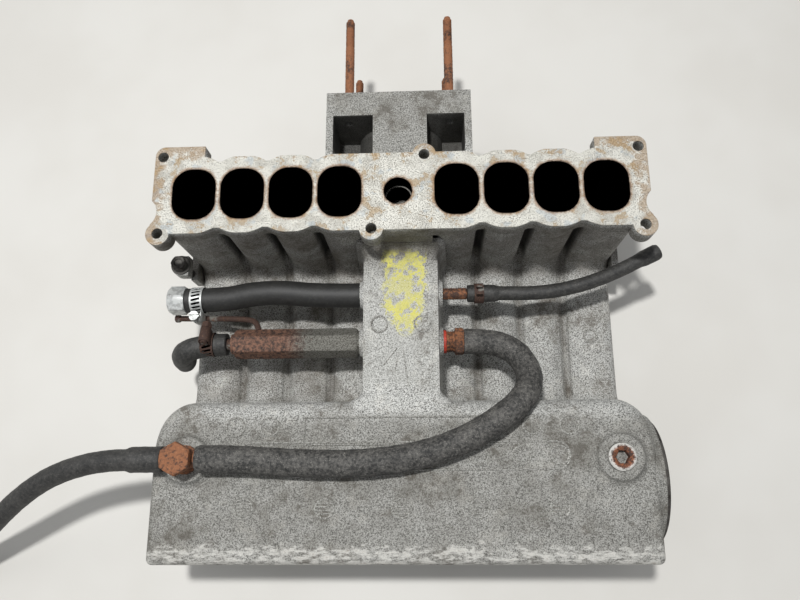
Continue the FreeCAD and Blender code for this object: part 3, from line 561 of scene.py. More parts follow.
def from_port(finish):
    """Distance in X from the middle of the nearest port."""
    across = abs(finish.x) - PORT_FIRST * MM
    number = (across / (PORT_PITCH * MM)).rounded().over(0).under(3)
    return abs(across - number * (PORT_PITCH * MM))


def port_distance(finish):
    """Distance to the outline of the nearest port, below zero inside it: the length of the part
    of the offset that lies outside the straight sides, less the corner radius."""
    beside = from_port(finish) - (PORT_WIDE / 2 - PORT_ROUND) * MM
    beyond = abs(finish.y - PORT_ROW * MM) - (PORT_DEEP / 2 - PORT_ROUND) * MM
    outside = (beside.over(0) * beside.over(0) + beyond.over(0) * beyond.over(0)).root()
    return outside + beside.over(beyond).under(0) - PORT_ROUND * MM


def grey_casting(finish, clean=0.0):
    """Base colour of the cast skin: dark and pale grains, with pale and brown patches.  clean is
    where the grain is pale."""
    tones = colours()
    grain = finish.noise(1.05, 4, 0.72)
    fine = finish.noise(0.6, 2, 0.6)
    patch = finish.noise(38, 4, 0.62)
    spots = finish.noise(7, 4, 0.7)
    dark = finish.mix(tones.pepper, tone(112, 112, 107), clean)
    base = finish.mix(dark, tones.casting, grain.step(0.39, 0.59))
    base = finish.mix(base, tone(230, 230, 226), fine.step(0.53, 0.66) * 0.7)
    base = finish.mix(base, tone(60, 58, 54), fine.step(0.42, 0.30) * 0.55)
    base = finish.mix(base, tone(122, 118, 108), patch.step(0.47, 0.66) * 0.4)
    base = finish.mix(base, tones.dirt_and_shade, (spots * patch).step(0.29, 0.38) * 0.6)
    crusty = finish.noise(17, 3, 0.6).step(0.56, 0.66) * fine.step(0.47, 0.56)
    base = finish.mix(base, tone(216, 214, 206), crusty * 0.7)
    return base, grain, fine


def cast_aluminium():
    """Sand-cast skin with brown patches of grime, a scraped front edge and worn paint on the duct.
    The runner legs, the grooves between them, the creases between the runners and the neck's
    pockets are darkened as painted shade; the duct is darker towards the flange, partly grime and
    partly painted shade, and the skin is drawn darker on the left runs and towards the bottom."""
    finish = Finish("cast_aluminium")
    tones = colours()
    x, y, z = finish.x, finish.y, finish.z
    on_duct = abs(x).step(0.034, 0.030) * z.step(0.090, 0.100) * y.step(-0.055, -0.045)
    base, grain, fine = grey_casting(finish, on_duct * y.step(0.060, 0.040))
    ragged = finish.noise(9, 4, 0.7)
    deep = finish.noise(20, 4, 0.65)
    worn = deep.step(0.30, 0.62)
    leg = y.step(0.048, 0.064) * z.step(0.140, 0.132) * y.step(0.126, 0.110)
    beside = from_port(finish) / (PORT_PITCH / 2 * MM)
    between = abs(x).step(0.036, 0.044) * abs(x).step(0.178, 0.168)
    crease_shade = beside.step(0.66, 1.0) * between
    slot = beside.step(0.78, 0.86) * between
    run = z.step(0.064, 0.054) * y.step(-0.064, -0.052)
    left = x.step(-0.030, -0.040)
    # Painted shade in the grime colour on the runner legs under the flange and in the creases
    # between the runners; the left runs and the skin towards the bottom are drawn darker too, and
    # worn adds grime at random.
    soiled_and_shaded = (leg * (0.35 + 0.40 * worn)).over(run * crease_shade * (0.25 + 0.4 * worn))
    soiled_and_shaded = soiled_and_shaded.over(run * left * (0.10 + 0.42 * worn)).over(run * worn * 0.2)
    soiled_and_shaded = soiled_and_shaded.over(z.step(0.030, 0.010) * 0.5)
    base = finish.mix(base, tones.dirt_and_shade, soiled_and_shaded * 0.85)
    # Painted shade: a near black line down each groove between the runner legs.
    base = finish.mix(base, tone(30, 27, 23), leg * slot * z.step(0.052, 0.066) * 0.9)
    plenum = y.step(-0.068, -0.084) * (0.50 + 0.22 * worn)
    neck = y.step(0.140, 0.150) * (0.35 + 0.3 * worn)
    # The duct is drawn darker all over and more towards the flange, where it is partly grime and
    # partly painted shade from the flange; plenum and neck are darker in tone.
    near = on_duct * (0.16 + y.step(0.030, 0.062) * 0.39)
    dulled_and_shaded = plenum.over(neck).over(near)
    base = finish.mix(base, tone(104, 101, 94), dulled_and_shaded * 0.5)
    base = finish.mix(base, tone(152, 149, 141), dulled_and_shaded * 0.6, "MULTIPLY")
    # Painted shade: the throttle neck below its top, where its pockets are, darkened towards near
    # black.
    pocket_shade = y.step(0.148, 0.152) * y.step(0.1795, 0.1780) * z.step(0.1295, 0.1270)
    base = finish.mix(base, tone(34, 32, 29), pocket_shade * 0.75)
    scrape = (y + (ragged - 0.5) * 0.030).step(-0.171, -0.176) * z.step(0.098, 0.106)
    streak = finish.noise(3.0, 4, 0.7, stretch=(0.35, 1, 1))
    base = finish.mix(base, tone(212, 210, 203), scrape * streak.step(0.40, 0.62) * 0.7)
    base = finish.mix(base, tone(96, 78, 62), scrape * streak.step(0.60, 0.72) * 0.55)
    half = 0.005 + (y + 0.012).over(0) * 0.55
    edge = (ragged - 0.5) * 0.040 + (grain - 0.5) * 0.008
    inside = (half.under(0.0195) - abs(x - 0.003) + edge).step(0, 0.0022)
    painted = inside * (z - 0.104).step(0, 0.001) * y.step(-0.012, -0.006)
    painted = painted * y.step(0.064, 0.058) * (ragged * 0.7 + grain * 0.3).step(0.56, 0.49)
    base = finish.mix(base, tones.paint, painted * (0.5 + 0.4 * deep.step(0.6, 0.35)))
    bumps = finish.bump(grain * 0.7 + fine * 0.5, 0.7, 1.0)
    bumps = finish.bump(deep, 2.0, 0.35, bumps)
    return finish.surface(base, 0.50 + 0.2 * grain, 0.22, bumps)


def cast_mark():
    """Raised marks, rubbed paler than the skin round them."""
    finish = Finish("cast_mark")
    grain = finish.noise(1.2, 4, 0.7)
    base = finish.mix(tone(88, 86, 80), tone(172, 171, 165), grain.step(0.38, 0.60))
    return finish.surface(base, 0.5, 0.25, finish.bump(grain, 0.4, 0.7))


def port_face():
    """Scraped face of the port flange: pale and pitted, with rust lines round the openings."""
    finish = Finish("port_face")
    base, grain, fine = grey_casting(finish)
    tones = colours()
    x, y, z = finish.x, finish.y, finish.z
    top = z.step(0.1482, 0.1496)
    pits = finish.noise(1.0, 3, 0.7)
    cloud = finish.noise(14, 4, 0.65)
    face = finish.mix(tones.machined, tone(168, 165, 155), cloud.step(0.42, 0.62) * 0.8)
    face = finish.mix(face, tone(228, 227, 220), fine.step(0.52, 0.64) * 0.6)
    face = finish.mix(face, tone(70, 66, 60), pits.step(0.56, 0.65) * 0.75)
    face = finish.mix(face, tone(160, 172, 180), finish.noise(11, 2, 0.5).step(0.58, 0.66) * 0.4)
    away = (abs(x) - 0.1790).over(y - 0.1230)
    stain = finish.noise(8, 4, 0.7)
    face = finish.mix(face, tone(146, 116, 80),
                      (away + (stain - 0.5) * 0.05).step(0.008, 0.016) * 0.6)
    face = finish.mix(face, tone(168, 142, 104), (stain * cloud).step(0.285, 0.35) * 0.6)
    beside = port_distance(finish).under(
        (x * x + (y - GAS_ROW * MM) * (y - GAS_ROW * MM)).root() - GAS_RADIUS * MM)
    ragged = (finish.noise(5, 3, 0.7) - 0.5) * 0.006
    rim = (beside + ragged).step(0.0032, 0.0004)
    face = finish.mix(face, tone(150, 112, 74), rim * 0.65)
    face = finish.mix(face, tone(50, 40, 33), (beside + ragged * 0.4).step(0.0013, 0.0) * 0.85)
    base = finish.mix(base, tone(90, 84, 74), z.step(0.148, 0.141) * 0.6)
    base = finish.mix(base, face, top)
    bumps = finish.bump(grain * 0.6 + pits.step(0.66, 0.50), 0.5, 0.8)
    return finish.surface(base, 0.5 + 0.25 * fine, 0.25, bumps)


def soot():
    # Painted shade: near black where there is only shade, inside the ports, the throttle bore and
    # the clamp slots, with a few paler flecks.
    finish = Finish("soot")
    flake = finish.noise(1.6, 3, 0.6)
    base = finish.mix(colours().soot, tone(40, 37, 35), flake.step(0.68, 0.74) * 0.5)
    return finish.surface(base, 0.9, 0.0, finish.bump(flake, 0.4, 0.6), shine=0.0)


def rusted(name, light, grey=0.0):
    """Rusted steel: brown and orange crust over steel.  light is the share of orange crust, grey
    the share of bare metal left."""
    finish = Finish(name)
    tones = colours()
    crust = finish.noise(2.6, 5, 0.72)
    fleck = finish.noise(0.9, 3, 0.7)
    broad = finish.noise(14, 3, 0.6)
    base = finish.mix(tones.rust_dark, tones.rust_light,
                      (crust * 0.6 + broad * 0.4).step(0.62 - 0.3 * light, 0.76 - 0.3 * light))
    base = finish.mix(base, tone(40, 30, 26), fleck.step(0.60, 0.70) * 0.6)
    base = finish.mix(base, tone(206, 158, 112), fleck.step(0.40, 0.30) * 0.35)
    metal = 0.15
    if grey:
        bare = broad.step(0.68 - 0.4 * grey, 0.74 - 0.4 * grey)
        base = finish.mix(base, tone(128, 126, 120), bare * crust.step(0.62, 0.48) * 0.9)
        metal = 0.15 + bare * 0.35
    bumps = finish.bump(crust * 0.8 + fleck * 0.4, 0.5, 0.9)
    return finish.surface(base, 0.68 + 0.2 * fleck, metal, bumps)


def long_extension():
    """Hexagon bar: brown rust on its outer half, dull grey steel towards the duct."""
    finish = Finish("extension_steel")
    crust = finish.noise(3.2, 5, 0.75)
    fleck = finish.noise(1.0, 3, 0.7)
    rusty = (finish.x + (crust - 0.5) * 0.07).step(-0.076, -0.096)
    brown = finish.mix(tone(54, 45, 42), tone(130, 96, 79), crust.step(0.36, 0.66))
    steel = finish.mix(tone(118, 117, 110), tone(66, 62, 56), fleck.step(0.42, 0.62))
    base = finish.mix(steel, brown, rusty)
    base = finish.mix(base, tone(196, 160, 118), fleck.step(0.36, 0.28) * 0.7 * rusty)
    bumps = finish.bump(crust * 0.8 + fleck * 0.5, 0.5, 0.8)
    return finish.surface(base, 0.62 + 0.2 * crust, 0.35, bumps)


def zinc_plate():
    finish = Finish("zinc_plate")
    bloom = finish.noise(6, 4, 0.65)
    fleck = finish.noise(1.1, 3, 0.7)
    base = finish.mix(colours().zinc, tone(172, 174, 172), bloom.step(0.45, 0.62))
    base = finish.mix(base, tone(120, 84, 56), (bloom * fleck).step(0.34, 0.42) * 0.6)
    return finish.surface(base, 0.36 + 0.3 * bloom, 0.7, finish.bump(fleck, 0.2, 0.5))


def pressed_steel():
    finish = Finish("pressed_steel")
    bloom = finish.noise(12, 4, 0.6)
    fleck = finish.noise(1.6, 3, 0.7)
    base = finish.mix(tone(88, 86, 82), tone(50, 46, 43), bloom.step(0.4, 0.62))
    base = finish.mix(base, tone(124, 84, 56), (bloom * fleck).step(0.36, 0.44) * 0.5)
    return finish.surface(base, 0.5 + 0.25 * bloom, 0.6, finish.bump(fleck, 0.25, 0.5))


def rubber(name, dusty):
    """Hose rubber.  dusty is the share of grey dust and scuffs over the black."""
    finish = Finish(name)
    tones = colours()
    cloth = finish.noise(11, 4, 0.65)
    scuff = finish.noise(2.4, 5, 0.78)
    fine = finish.noise(0.7, 2, 0.6)
    base = finish.mix(tones.rubber, tones.dust, (cloth * 0.35 + scuff * 0.65).step(0.38, 0.66)
                      * dusty)
    base = finish.mix(base, tone(156, 152, 145), fine.step(0.56, 0.68) * scuff.step(0.42, 0.60)
                      * dusty * 0.7)
    base = finish.mix(base, tone(26, 26, 26), scuff.step(0.44, 0.32) * dusty * 0.8)
    bumps = finish.bump(scuff * 0.6 + fine * 0.4, 0.35 + 0.4 * dusty, 0.6)
    return finish.surface(base, 0.46 + 0.25 * dusty + 0.15 * scuff, 0.0, bumps)


def red_seal():
    finish = Finish("red_seal")
    worn = finish.noise(3, 3, 0.6)
    base = finish.mix(colours().seal, tone(120, 48, 38), worn.step(0.45, 0.62))
    return finish.surface(base, 0.55 + 0.2 * worn, 0.0, finish.bump(worn, 0.2, 0.5))


def plug_thread():
    """White bloom of corrosion round the pipe plug, brown steel inside it."""
    finish = Finish("plug_steel")
    low, high = corners("pipe_plug")
    middle = (low + high) / 2 * MM
    away = ((finish.x - middle[0]) * (finish.x - middle[0])
            + (finish.y - middle[1]) * (finish.y - middle[1])).root()
    crust = finish.noise(2.2, 4, 0.7)
    base = finish.mix(colours().rust_dark, tone(134, 84, 58), crust.step(0.42, 0.62))
    bloom = (away + (crust - 0.5) * 0.006).step(0.0078, 0.0098)
    base = finish.mix(base, tone(206, 204, 198), bloom * crust.step(0.30, 0.46))
    return finish.surface(base, 0.7 + 0.2 * crust, 0.2, finish.bump(crust, 0.45, 0.9))


def pale_floor():
    finish = Finish("pale_floor")
    cloud = finish.noise(180, 3, 0.6)
    fibre = finish.noise(3, 3, 0.6)
    base = finish.mix(colours().floor, tone(200, 197, 190), cloud.step(0.35, 0.7) * 0.7)
    return finish.surface(base, 0.38 + 0.2 * cloud, 0.0, finish.bump(fibre, 0.15, 0.3))


FINISHES = {
    "cast": cast_aluminium,
    "face": port_face,
    "mark": cast_mark,
    "soot": soot,
    "rust": lambda: rusted("rusted_steel", 0.75),
    "brown": lambda: rusted("corroded_steel", 0.2, 0.3),
    "orange": lambda: rusted("orange_rust", 0.6),
    "extension": long_extension,
    "zinc": zinc_plate,
    "pressed": pressed_steel,
    "rubber": lambda: rubber("hose_rubber", 0.12),
    "old_rubber": lambda: rubber("old_rubber", 0.85),
    "worn_rubber": lambda: rubber("worn_rubber", 0.30),
    "seal": red_seal,
    "plug": plug_thread,
    "floor": pale_floor,
}
made_finishes = {}


def finish_of(name):
    if name not in made_finishes:
        made_finishes[name] = FINISHES[name]()
    return made_finishes[name]


# ---------------------------------------------------------------- places taken from the frame

FIRST_LOW, FIRST_HIGH = corners("runner_right_1")
LAST_HIGH = corners("runner_right_4")[1]
PORT_PITCH = FIRST_HIGH[0] - FIRST_LOW[0]
PORT_FIRST = (FIRST_HIGH[0] + FIRST_LOW[0]) / 2
PORT_ROW = 100.0
PORT_WIDE = 35.0
PORT_DEEP = 43.0
PORT_ROUND = 15.0
GAS_ROW = 99.35
GAS_RADIUS = 11.25
FLANGE_UNDER = corners("port_flange")[0][2]
LEG_FRONT = 66.6
LEG_BACK = FIRST_HIGH[1]
RUN_TOP = 46.0
BODY_HALF = LAST_HIGH[0]
REAR_WALL = FIRST_LOW[1]
PLENUM_TOP = 112.0
PLENUM_HALF = 196.0
PLENUM_FRONT = corners("plenum")[0][1]
DUCT_TOP = 106.0
DUCT_HALF = 31.0
BOSS_ROW = -108.0
BOSS_ACROSS = 168.0
FITTING_HEIGHT = 88.0
BORE_HEIGHT = 72.0
BORE_WALL = 29.0
REAR_FITTING = 30.0
FRONT_FITTING = -11.5


# ---------------------------------------------------------------- the casting

def runner_stations(blend):
    """Front and back points of the sections down a runner, in Y and Z, with how far each section
    has come along its leg, bend, run and blend, from 0 to 4."""
    inner, outer = 12.0, 42.0
    leg = np.linspace(0, 1, 20)[:, None]
    bend = np.linspace(0, math.pi / 2, 14)[1:]
    run = np.linspace(0, 1, 16)[1:, None]
    rise = np.linspace(0, math.pi / 2, 10)[1:]

    def line(start, end, share):
        return np.array(start) + (np.array(end) - np.array(start)) * share

    front = [line((LEG_FRONT, FLANGE_UNDER), (LEG_FRONT, RUN_TOP + inner), leg),
             np.stack([LEG_FRONT - inner + inner * np.cos(bend),
                       RUN_TOP + inner - inner * np.sin(bend)], 1),
             line((LEG_FRONT - inner, RUN_TOP), (REAR_WALL + blend, RUN_TOP), run),
             np.stack([REAR_WALL + blend - blend * np.sin(rise),
                       RUN_TOP + blend - blend * np.cos(rise)], 1),
             np.array([[REAR_WALL - 6, RUN_TOP + blend + 1]])]
    back = [line((LEG_BACK, FLANGE_UNDER), (LEG_BACK, outer), leg),
            np.stack([LEG_BACK - outer + outer * np.cos(bend), outer - outer * np.sin(bend)], 1),
            line((LEG_BACK - outer, 0), (REAR_WALL + 6, 0), run),
            line((REAR_WALL + 6, 0), (REAR_WALL - 4, 0), rise[:, None] / rise[-1]),
            np.array([[REAR_WALL - 6, 0.0]])]
    stage = [leg[:, 0], 1 + bend / bend[-1], 2 + run[:, 0], 3 + rise / rise[-1], [4.0]]
    return np.concatenate(front), np.concatenate(back), np.concatenate(stage)[:, None]


def ring_across(front, back, x, front_dip, back_dip):
    """Rings round the sections: along the front with its dips, down one side, along the back and
    up the other side."""
    reach = back - front
    unit = reach / np.linalg.norm(reach, axis=1, keepdims=True)
    ahead = front[:, None] + front_dip[..., None] * unit[:, None]
    behind = (back[:, None] - back_dip[..., None] * unit[:, None])[:, ::-1]
    share = np.array([0.33, 0.67])[None, :, None]
    right = ahead[:, -1:] + (behind[:, :1] - ahead[:, -1:]) * share
    left = behind[:, -1:] + (ahead[:, :1] - behind[:, -1:]) * share
    flat = np.concatenate([ahead, right, behind, left], 1)
    across = np.concatenate([x, [x[-1]] * 2, x[::-1], [x[0]] * 2])
    return np.concatenate([np.broadcast_to(across[None, :, None], flat.shape[:2] + (1,)), flat], 2)


def runner_shell(sign, number, sizes):
    """One runner: a tube whose outer rings have a parabola for a back, which meets the next
    runner's in a crease, and whose inner rings are rounded rectangles."""
    front, back, stage = runner_stations(sizes.blend / MM)
    middle = PORT_FIRST + number * PORT_PITCH
    inner_edge = middle - PORT_PITCH / 2
    last = number == 3
    outer_edge = BODY_HALF if last else middle + PORT_PITCH / 2
    spread = np.sin(np.linspace(-math.pi / 2, math.pi / 2, 49))
    x = (inner_edge + outer_edge) / 2 + (outer_edge - inner_edge) / 2 * spread
    from_middle = np.clip((x - middle) / (PORT_PITCH / 2), -1, 1)
    if last:
        from_middle = np.minimum(from_middle, 0)
    crease = from_middle ** 2
    groove_edge, groove_floor, corner, thin_wall = -4.2, -2.8, 9.0, 4.5
    near = smooth(inner_edge - x, groove_edge, groove_floor)
    if not last:
        near = near + smooth(x - outer_edge, groove_edge, groove_floor)
    past = np.clip(x - (outer_edge - corner), 0, corner) if last else 0 * x
    round_off = corner - np.sqrt(corner ** 2 - past ** 2)
    hump, groove = sizes.hump / MM, sizes.groove / MM
    fade = 1 - 0.75 * smooth(stage, 3, 4)
    past_leg = 1 - 0.78 * smooth(stage, 0.85, 1.25)
    front_dip = hump * fade * crease + groove * past_leg * fade * near + 0.8 * round_off
    back_dip = (0.8 * hump * (1 - smooth(stage, 2.6, 3.4)) * crease
                + 0.7 * groove * (1 - smooth(stage, 1.2, 2.2)) * near + round_off)
    outer = ring_across(front, back, x, front_dip, back_dip)
    half = PORT_WIDE / 2 - 0.5
    bore_x = middle + half * spread
    taper = smooth(stage, 0.8, 2)
    bend_round = 14.5 - 6.5 * taper
    over = np.maximum(np.abs(bore_x - middle) - (half - bend_round), 0)
    turned_in = bend_round - np.sqrt(np.maximum(bend_round ** 2 - over ** 2, 0))
    wall = PORT_ROW - PORT_DEEP / 2 - LEG_FRONT
    inner = ring_across(front, back, bore_x,
                        thin_wall + (wall - thin_wall) * (1 - taper) + turned_in,
                        thin_wall + 2 * (1 - taper) + turned_in)
    points = np.concatenate([outer, inner[::-1]])
    points[..., 0] *= sign
    return points, True, True, len(outer)


def duct_skin():
    """Cast skin of the centre duct: a rounded section carried along Y, whose height and width
    swell by quarter circles where it meets the flange and the plenum."""
    y = np.concatenate([np.linspace(-88, -46, 20), np.linspace(-42, 48, 22),
                        np.linspace(50, 66.2, 16), [70.0]])[:, None]
    skin, edge, foot, foot_top, draft = 0.35, 7.0, 9.0, 45.0, 3.0

    def swell(radius, start, reach, along):
        return radius - np.sqrt(radius ** 2 - np.clip(along - start, 0, reach) ** 2)

    top = DUCT_TOP + skin + 5.5 * smooth(-y, 46, 84) + swell(17.0, 50, 16.3, y)
    half = DUCT_HALF + skin + swell(8.0, 58.6, 7.9, y) + swell(12.0, 50, 11.9, -y)
    across = np.linspace(0, 1, 9)
    quarter = np.linspace(0, math.pi / 2, 8)[1:]
    down = np.linspace(0.1, 1, 8)
    parts = [
        ((half - edge) * across, top + 0.7 * (1 - across ** 2)),
        (half - edge + edge * np.sin(quarter), top - edge + edge * np.cos(quarter)),
        (half + draft * down, top - edge - (top - edge - foot_top - foot) * down),
        (half + draft + foot - foot * np.cos(quarter), foot_top + foot - foot * np.sin(quarter)),
        (half + draft + foot, foot_top - 4),
        (25, foot_top - 4.4),
    ]
    sides = [[np.broadcast_to(part, np.broadcast(part, pair[0], y).shape) for part in pair]
             for pair in parts]
    x, z = (np.concatenate([pair[k] for pair in sides], 1) for k in range(2))
    x = np.concatenate([x, -x[:, :0:-1]], 1)
    z = np.concatenate([z, z[:, :0:-1]], 1)
    return capped(np.stack([x, y * np.ones_like(x), z], 2)), False, True


def plenum_shell():
    """Plenum: a rounded section carried along X.  Its rear wall comes forward by a quarter circle
    at each end, and the section shrinks by another over the last few millimetres."""
    corner, edge = 27.0, 5.0
    turn = np.linspace(0, math.pi / 2, 7)
    flat_half = PLENUM_HALF - edge
    flat = np.concatenate([np.linspace(0, 168, 30), np.linspace(170, flat_half - 0.5, 14)])
    half = np.concatenate([flat, flat_half + edge * np.sin(turn)])
    inset = np.concatenate([0 * flat, edge - edge * np.cos(turn)])
    x = np.concatenate([-half[:0:-1], half])[:, None]
    inset = np.concatenate([inset[:0:-1], inset])[:, None]
    past = np.clip(np.abs(x) - (PLENUM_HALF - corner), 0, corner)
    back = REAR_WALL - (corner - np.sqrt(corner ** 2 - past ** 2))
    shoulder = 16 + 5 * past / corner
    same = np.ones_like(x)
    y, z = rounded_section(PLENUM_FRONT * same, back, 0 * same, PLENUM_TOP * same, 5 * same,
                           shoulder, 3 * same, inset)
    return capped(np.stack([x * np.ones_like(y), y, z], 2)), False, True


def boss(sign):
    """Threaded boss: a ring with a concave foot on the plenum's top."""
    profile = [(24, -0.6), (21.5, 0.1), (19.4, 1.2), (18.2, 2.8), (17.6, 5 - 0.7), (16.8, 5),
               (10.8, 5), (10.8, -4), (23, -4)]
    return lathe(eased(profile, 0.7, True), (sign * BOSS_ACROSS, BOSS_ROW, PLENUM_TOP),
                 closed=True, rough=0.12)


def bead(line, radius, closed=True):
    """Round bead along a line that lies flat: half of it stands above the surface."""
    line = np.array(line, float)
    slope = np.roll(line, -1, 0) - np.roll(line, 1, 0) if closed else np.gradient(line, axis=0)
    side = np.stack([-slope[:, 1], slope[:, 0], 0 * slope[:, 0]], 1)
    side /= np.linalg.norm(side, axis=1, keepdims=True)
    angle = np.arange(8) * TURN / 8
    points = (line[:, None] + radius * np.cos(angle)[:, None] * side[:, None]
              + radius * np.sin(angle)[:, None] * np.array([0, 0, 1.0]))
    return (points if closed else capped(points)), closed, True


def circle_line(x, y, z, radius, count=40):
    angle = np.arange(count) * TURN / count
    return np.stack([x + radius * np.cos(angle), y + radius * np.sin(angle), z + 0 * angle], 1)


def pill_line(low_x, high_x, y, half, z):
    """Outline of a slot: two straight sides joined by half circles."""
    angle = np.linspace(-math.pi / 2, math.pi / 2, 14)
    right = np.stack([high_x - half + half * np.cos(angle), y + half * np.sin(angle)], 1)
    left = np.stack([low_x + half - half * np.cos(angle), y - half * np.sin(angle)], 1)
    flat = np.concatenate([right, left])
    return np.concatenate([flat, np.full((len(flat), 1), z)], 1)


# For each row along X, its place in Y: the radius of its rings and their places in X.
MARK_ROWS = {
    -83.0: (7.2, (-131, -104, 102, 131)),
    -106.0: (7.0, (60, 93, 122)),
    -145.0: (7.2, (-122, -59, 0, 59.5, 120)),
}
RULED_ROW = -145.0
LINE_MARKS = (((-3, -20), (-14, -34)), ((2, -22), (6, -52)), ((-2, -24), (-5, -40)))


def casting_marks(size):
    """Raised rings, ruled discs, a frame and an oblong: the marks that a pattern maker leaves."""
    top = PLENUM_TOP
    shells = [bead(pill_line(-128, 130, -106, 10.5, top), size),
              bead(circle_line(167.5, 0.4, RUN_TOP, 5.6), size * 1.2)]
    for row, (radius, places) in MARK_ROWS.items():
        for x in places:
            shells.append(bead(circle_line(x, row, top, radius), size))
            for step in (-3.9, -1.3, 1.3, 3.9) if row == RULED_ROW else ():
                reach = math.sqrt(radius ** 2 - step ** 2)
                shells.append(bead([(x + reach * t, row + step, top) for t in (-1, 0, 1)],
                                   size * 0.8, False))
    left, right, front, middle, back = -76, 77, -97, -87, -76
    outline = ((left, front), (0, front), (right, front), (right, middle), (right, back),
               (0, back), (left, back), (left, middle))
    shells.append(bead([(x, y, top) for x, y in outline], size))
    for x in (-17.7, 17.7):
        shells.append(bead(circle_line(x, 0, DUCT_TOP + 0.8, 6.6), size))
    for start, end in LINE_MARKS:
        line = [(start[0] + (end[0] - start[0]) * t, start[1] + (end[1] - start[1]) * t,
                 DUCT_TOP + 0.9) for t in (0, 0.33, 0.67, 1)]
        shells.append(bead(line, size * 0.6, False))
    return shells


def fitting_pads():
    """Cast pads under the four fittings, with a concave foot on the duct's side."""
    shells = []
    for sign in (-1, 1):
        for row in (REAR_FITTING, FRONT_FITTING):
            profile = [(0, -3), (14.5, -2), (13.2, 1.2), (12.1, 2.6), (11.6, 3.6), (10.9, 4.05),
                       (0, 4.05)]
            axes = AXES["x"] * np.array([[sign], [1], [1]])
            shells.append(lathe(eased(profile, 0.6), (sign * DUCT_HALF, row, FITTING_HEIGHT),
                                axes, rough=0.25))
    return shells


def in_a_port(middles, normals):
    """True for the upright faces inside the ports and the gas port."""
    slack = 0.3
    x, y = middles[:, 0] / MM, middles[:, 1] / MM
    number = np.clip(np.round((np.abs(x) - PORT_FIRST) / PORT_PITCH), 0, 3)
    beside = np.abs(np.abs(x) - PORT_FIRST - number * PORT_PITCH) < PORT_WIDE / 2 + slack
    port = beside & (np.abs(y - PORT_ROW) < PORT_DEEP / 2 + slack)
    gas = np.hypot(x, y - GAS_ROW) < GAS_RADIUS + slack
    return (np.abs(normals[:, 2]) < 0.5) & (port | gas)


def in_the_bore(middles, normals):
    """True for the faces of the throttle bore."""
    away = np.hypot(middles[:, 0], middles[:, 2] - BORE_HEIGHT * MM)
    return (away < BORE_WALL * MM) & (np.abs(normals[:, 1]) < 0.5)


def nearer_than(radius, base):
    """A test that is true for faces nearer than a radius to the line along X through a base."""
    return lambda middles, normals: np.hypot(
        middles[:, 1] / MM - base[1], middles[:, 2] / MM - base[2]) < radius


def blacken(mesh, chosen):
    """Gives the second finish to the faces whose middle and normal pass the test."""
    count = len(mesh.polygons)
    middles, normals = np.empty(count * 3), np.empty(count * 3)
    mesh.polygons.foreach_get("center", middles)
    mesh.polygons.foreach_get("normal", normals)
    index = chosen(middles.reshape(-1, 3), normals.reshape(-1, 3)).astype(np.int32)
    mesh.polygons.foreach_set("material_index", index)


# ---------------------------------------------------------------- hardware

# Places in X, and for each row its height and how far its studs reach.
STUD_ACROSS = 44
STUD_ROWS = ((115, 83), (29, 74.6))


def stud(x, z, reach, pitch):
    """Threaded stud in the throttle plate, with a plain middle and a pilot nose."""
    profile = filled([(0, -2), (4, -2), (4, reach - 3.4), (3.3, reach - 2.6), (2.7, reach - 0.4),
                      (2.2, reach), (0, reach)], 0.24)
    face = corners("throttle_neck")[1][1]
    return lathe(profile, (x, face, z), "y", 20, thread=(reach - 30, reach - 3, pitch, 0.62),
                 rough=0.12)


BAND_THICK = 0.8
BAND_SLOT_FLOOR = 0.6
WORM_SEAT = 4.8


def worm_axes(lean):
    """Axes of a worm screw: along it, across it and away from the hose."""
    turn = math.radians(lean)
    along = np.array([0, math.cos(turn), math.sin(turn)])
    away = np.array([0, -math.sin(turn), math.cos(turn)])
    return np.array([along, [1.0, 0, 0], away])


def clamp_screw(base, grip, lean):
    """Worm with its thread, and a slotted hexagon head."""
    axes = worm_axes(lean)
    seat = grip + BAND_THICK + WORM_SEAT
    worm = filled([(0, -7.4), (2.7, -7.4), (3.15, -6.5), (3.15, 6.6)], 0.3)
    head = [(3.15, 6.9), (4.5, 6.9), (4.6, 10.9)]
    head = np.array(head + [(radius, 11.9) for radius in (4.1, 3.4, 2.8, 2.2, 1.6, 1.0, 0.5, 0)])
    flats = np.concatenate([np.zeros(len(worm)), np.full(len(head), 8.0)])
    return lathe(np.concatenate([worm, head]), np.array(base) + seat * axes[2], axes, 48,
                 flats=flats, thread=(-6.2, 6.4, 1.6, 0.7), slot=(10.5, 0.6, 1.6))


def clamp_band(base, grip, lean):
    """Slotted band: a thin ring whose outer face has slanted slots along it."""
    angle = np.arange(264) * TURN / 264
    wide = np.concatenate([[-5.6], np.linspace(-5.3, 5.3, 22), [5.6, 5.6, 0, -5.6]])[:, None]
    outer = np.concatenate([[0.35], np.full(22, BAND_THICK), [0.35, 0, 0, 0]])[:, None]
    pitch = 3.3
    slots = round(TURN * grip / pitch)
    phase = (angle * slots / TURN + wide * 0.06) % 1
    inside = (outer > 0.7) * (np.abs(wide) < 3.7) * (np.abs(phase - 0.5) < 0.24)
    radius = grip + outer - 0.42 * inside
    turn = math.radians(lean)
    points = np.stack([wide * np.ones_like(angle), radius * np.cos(angle + turn),
                       radius * np.sin(angle + turn)], 2)
    return points + np.array(base), True, True


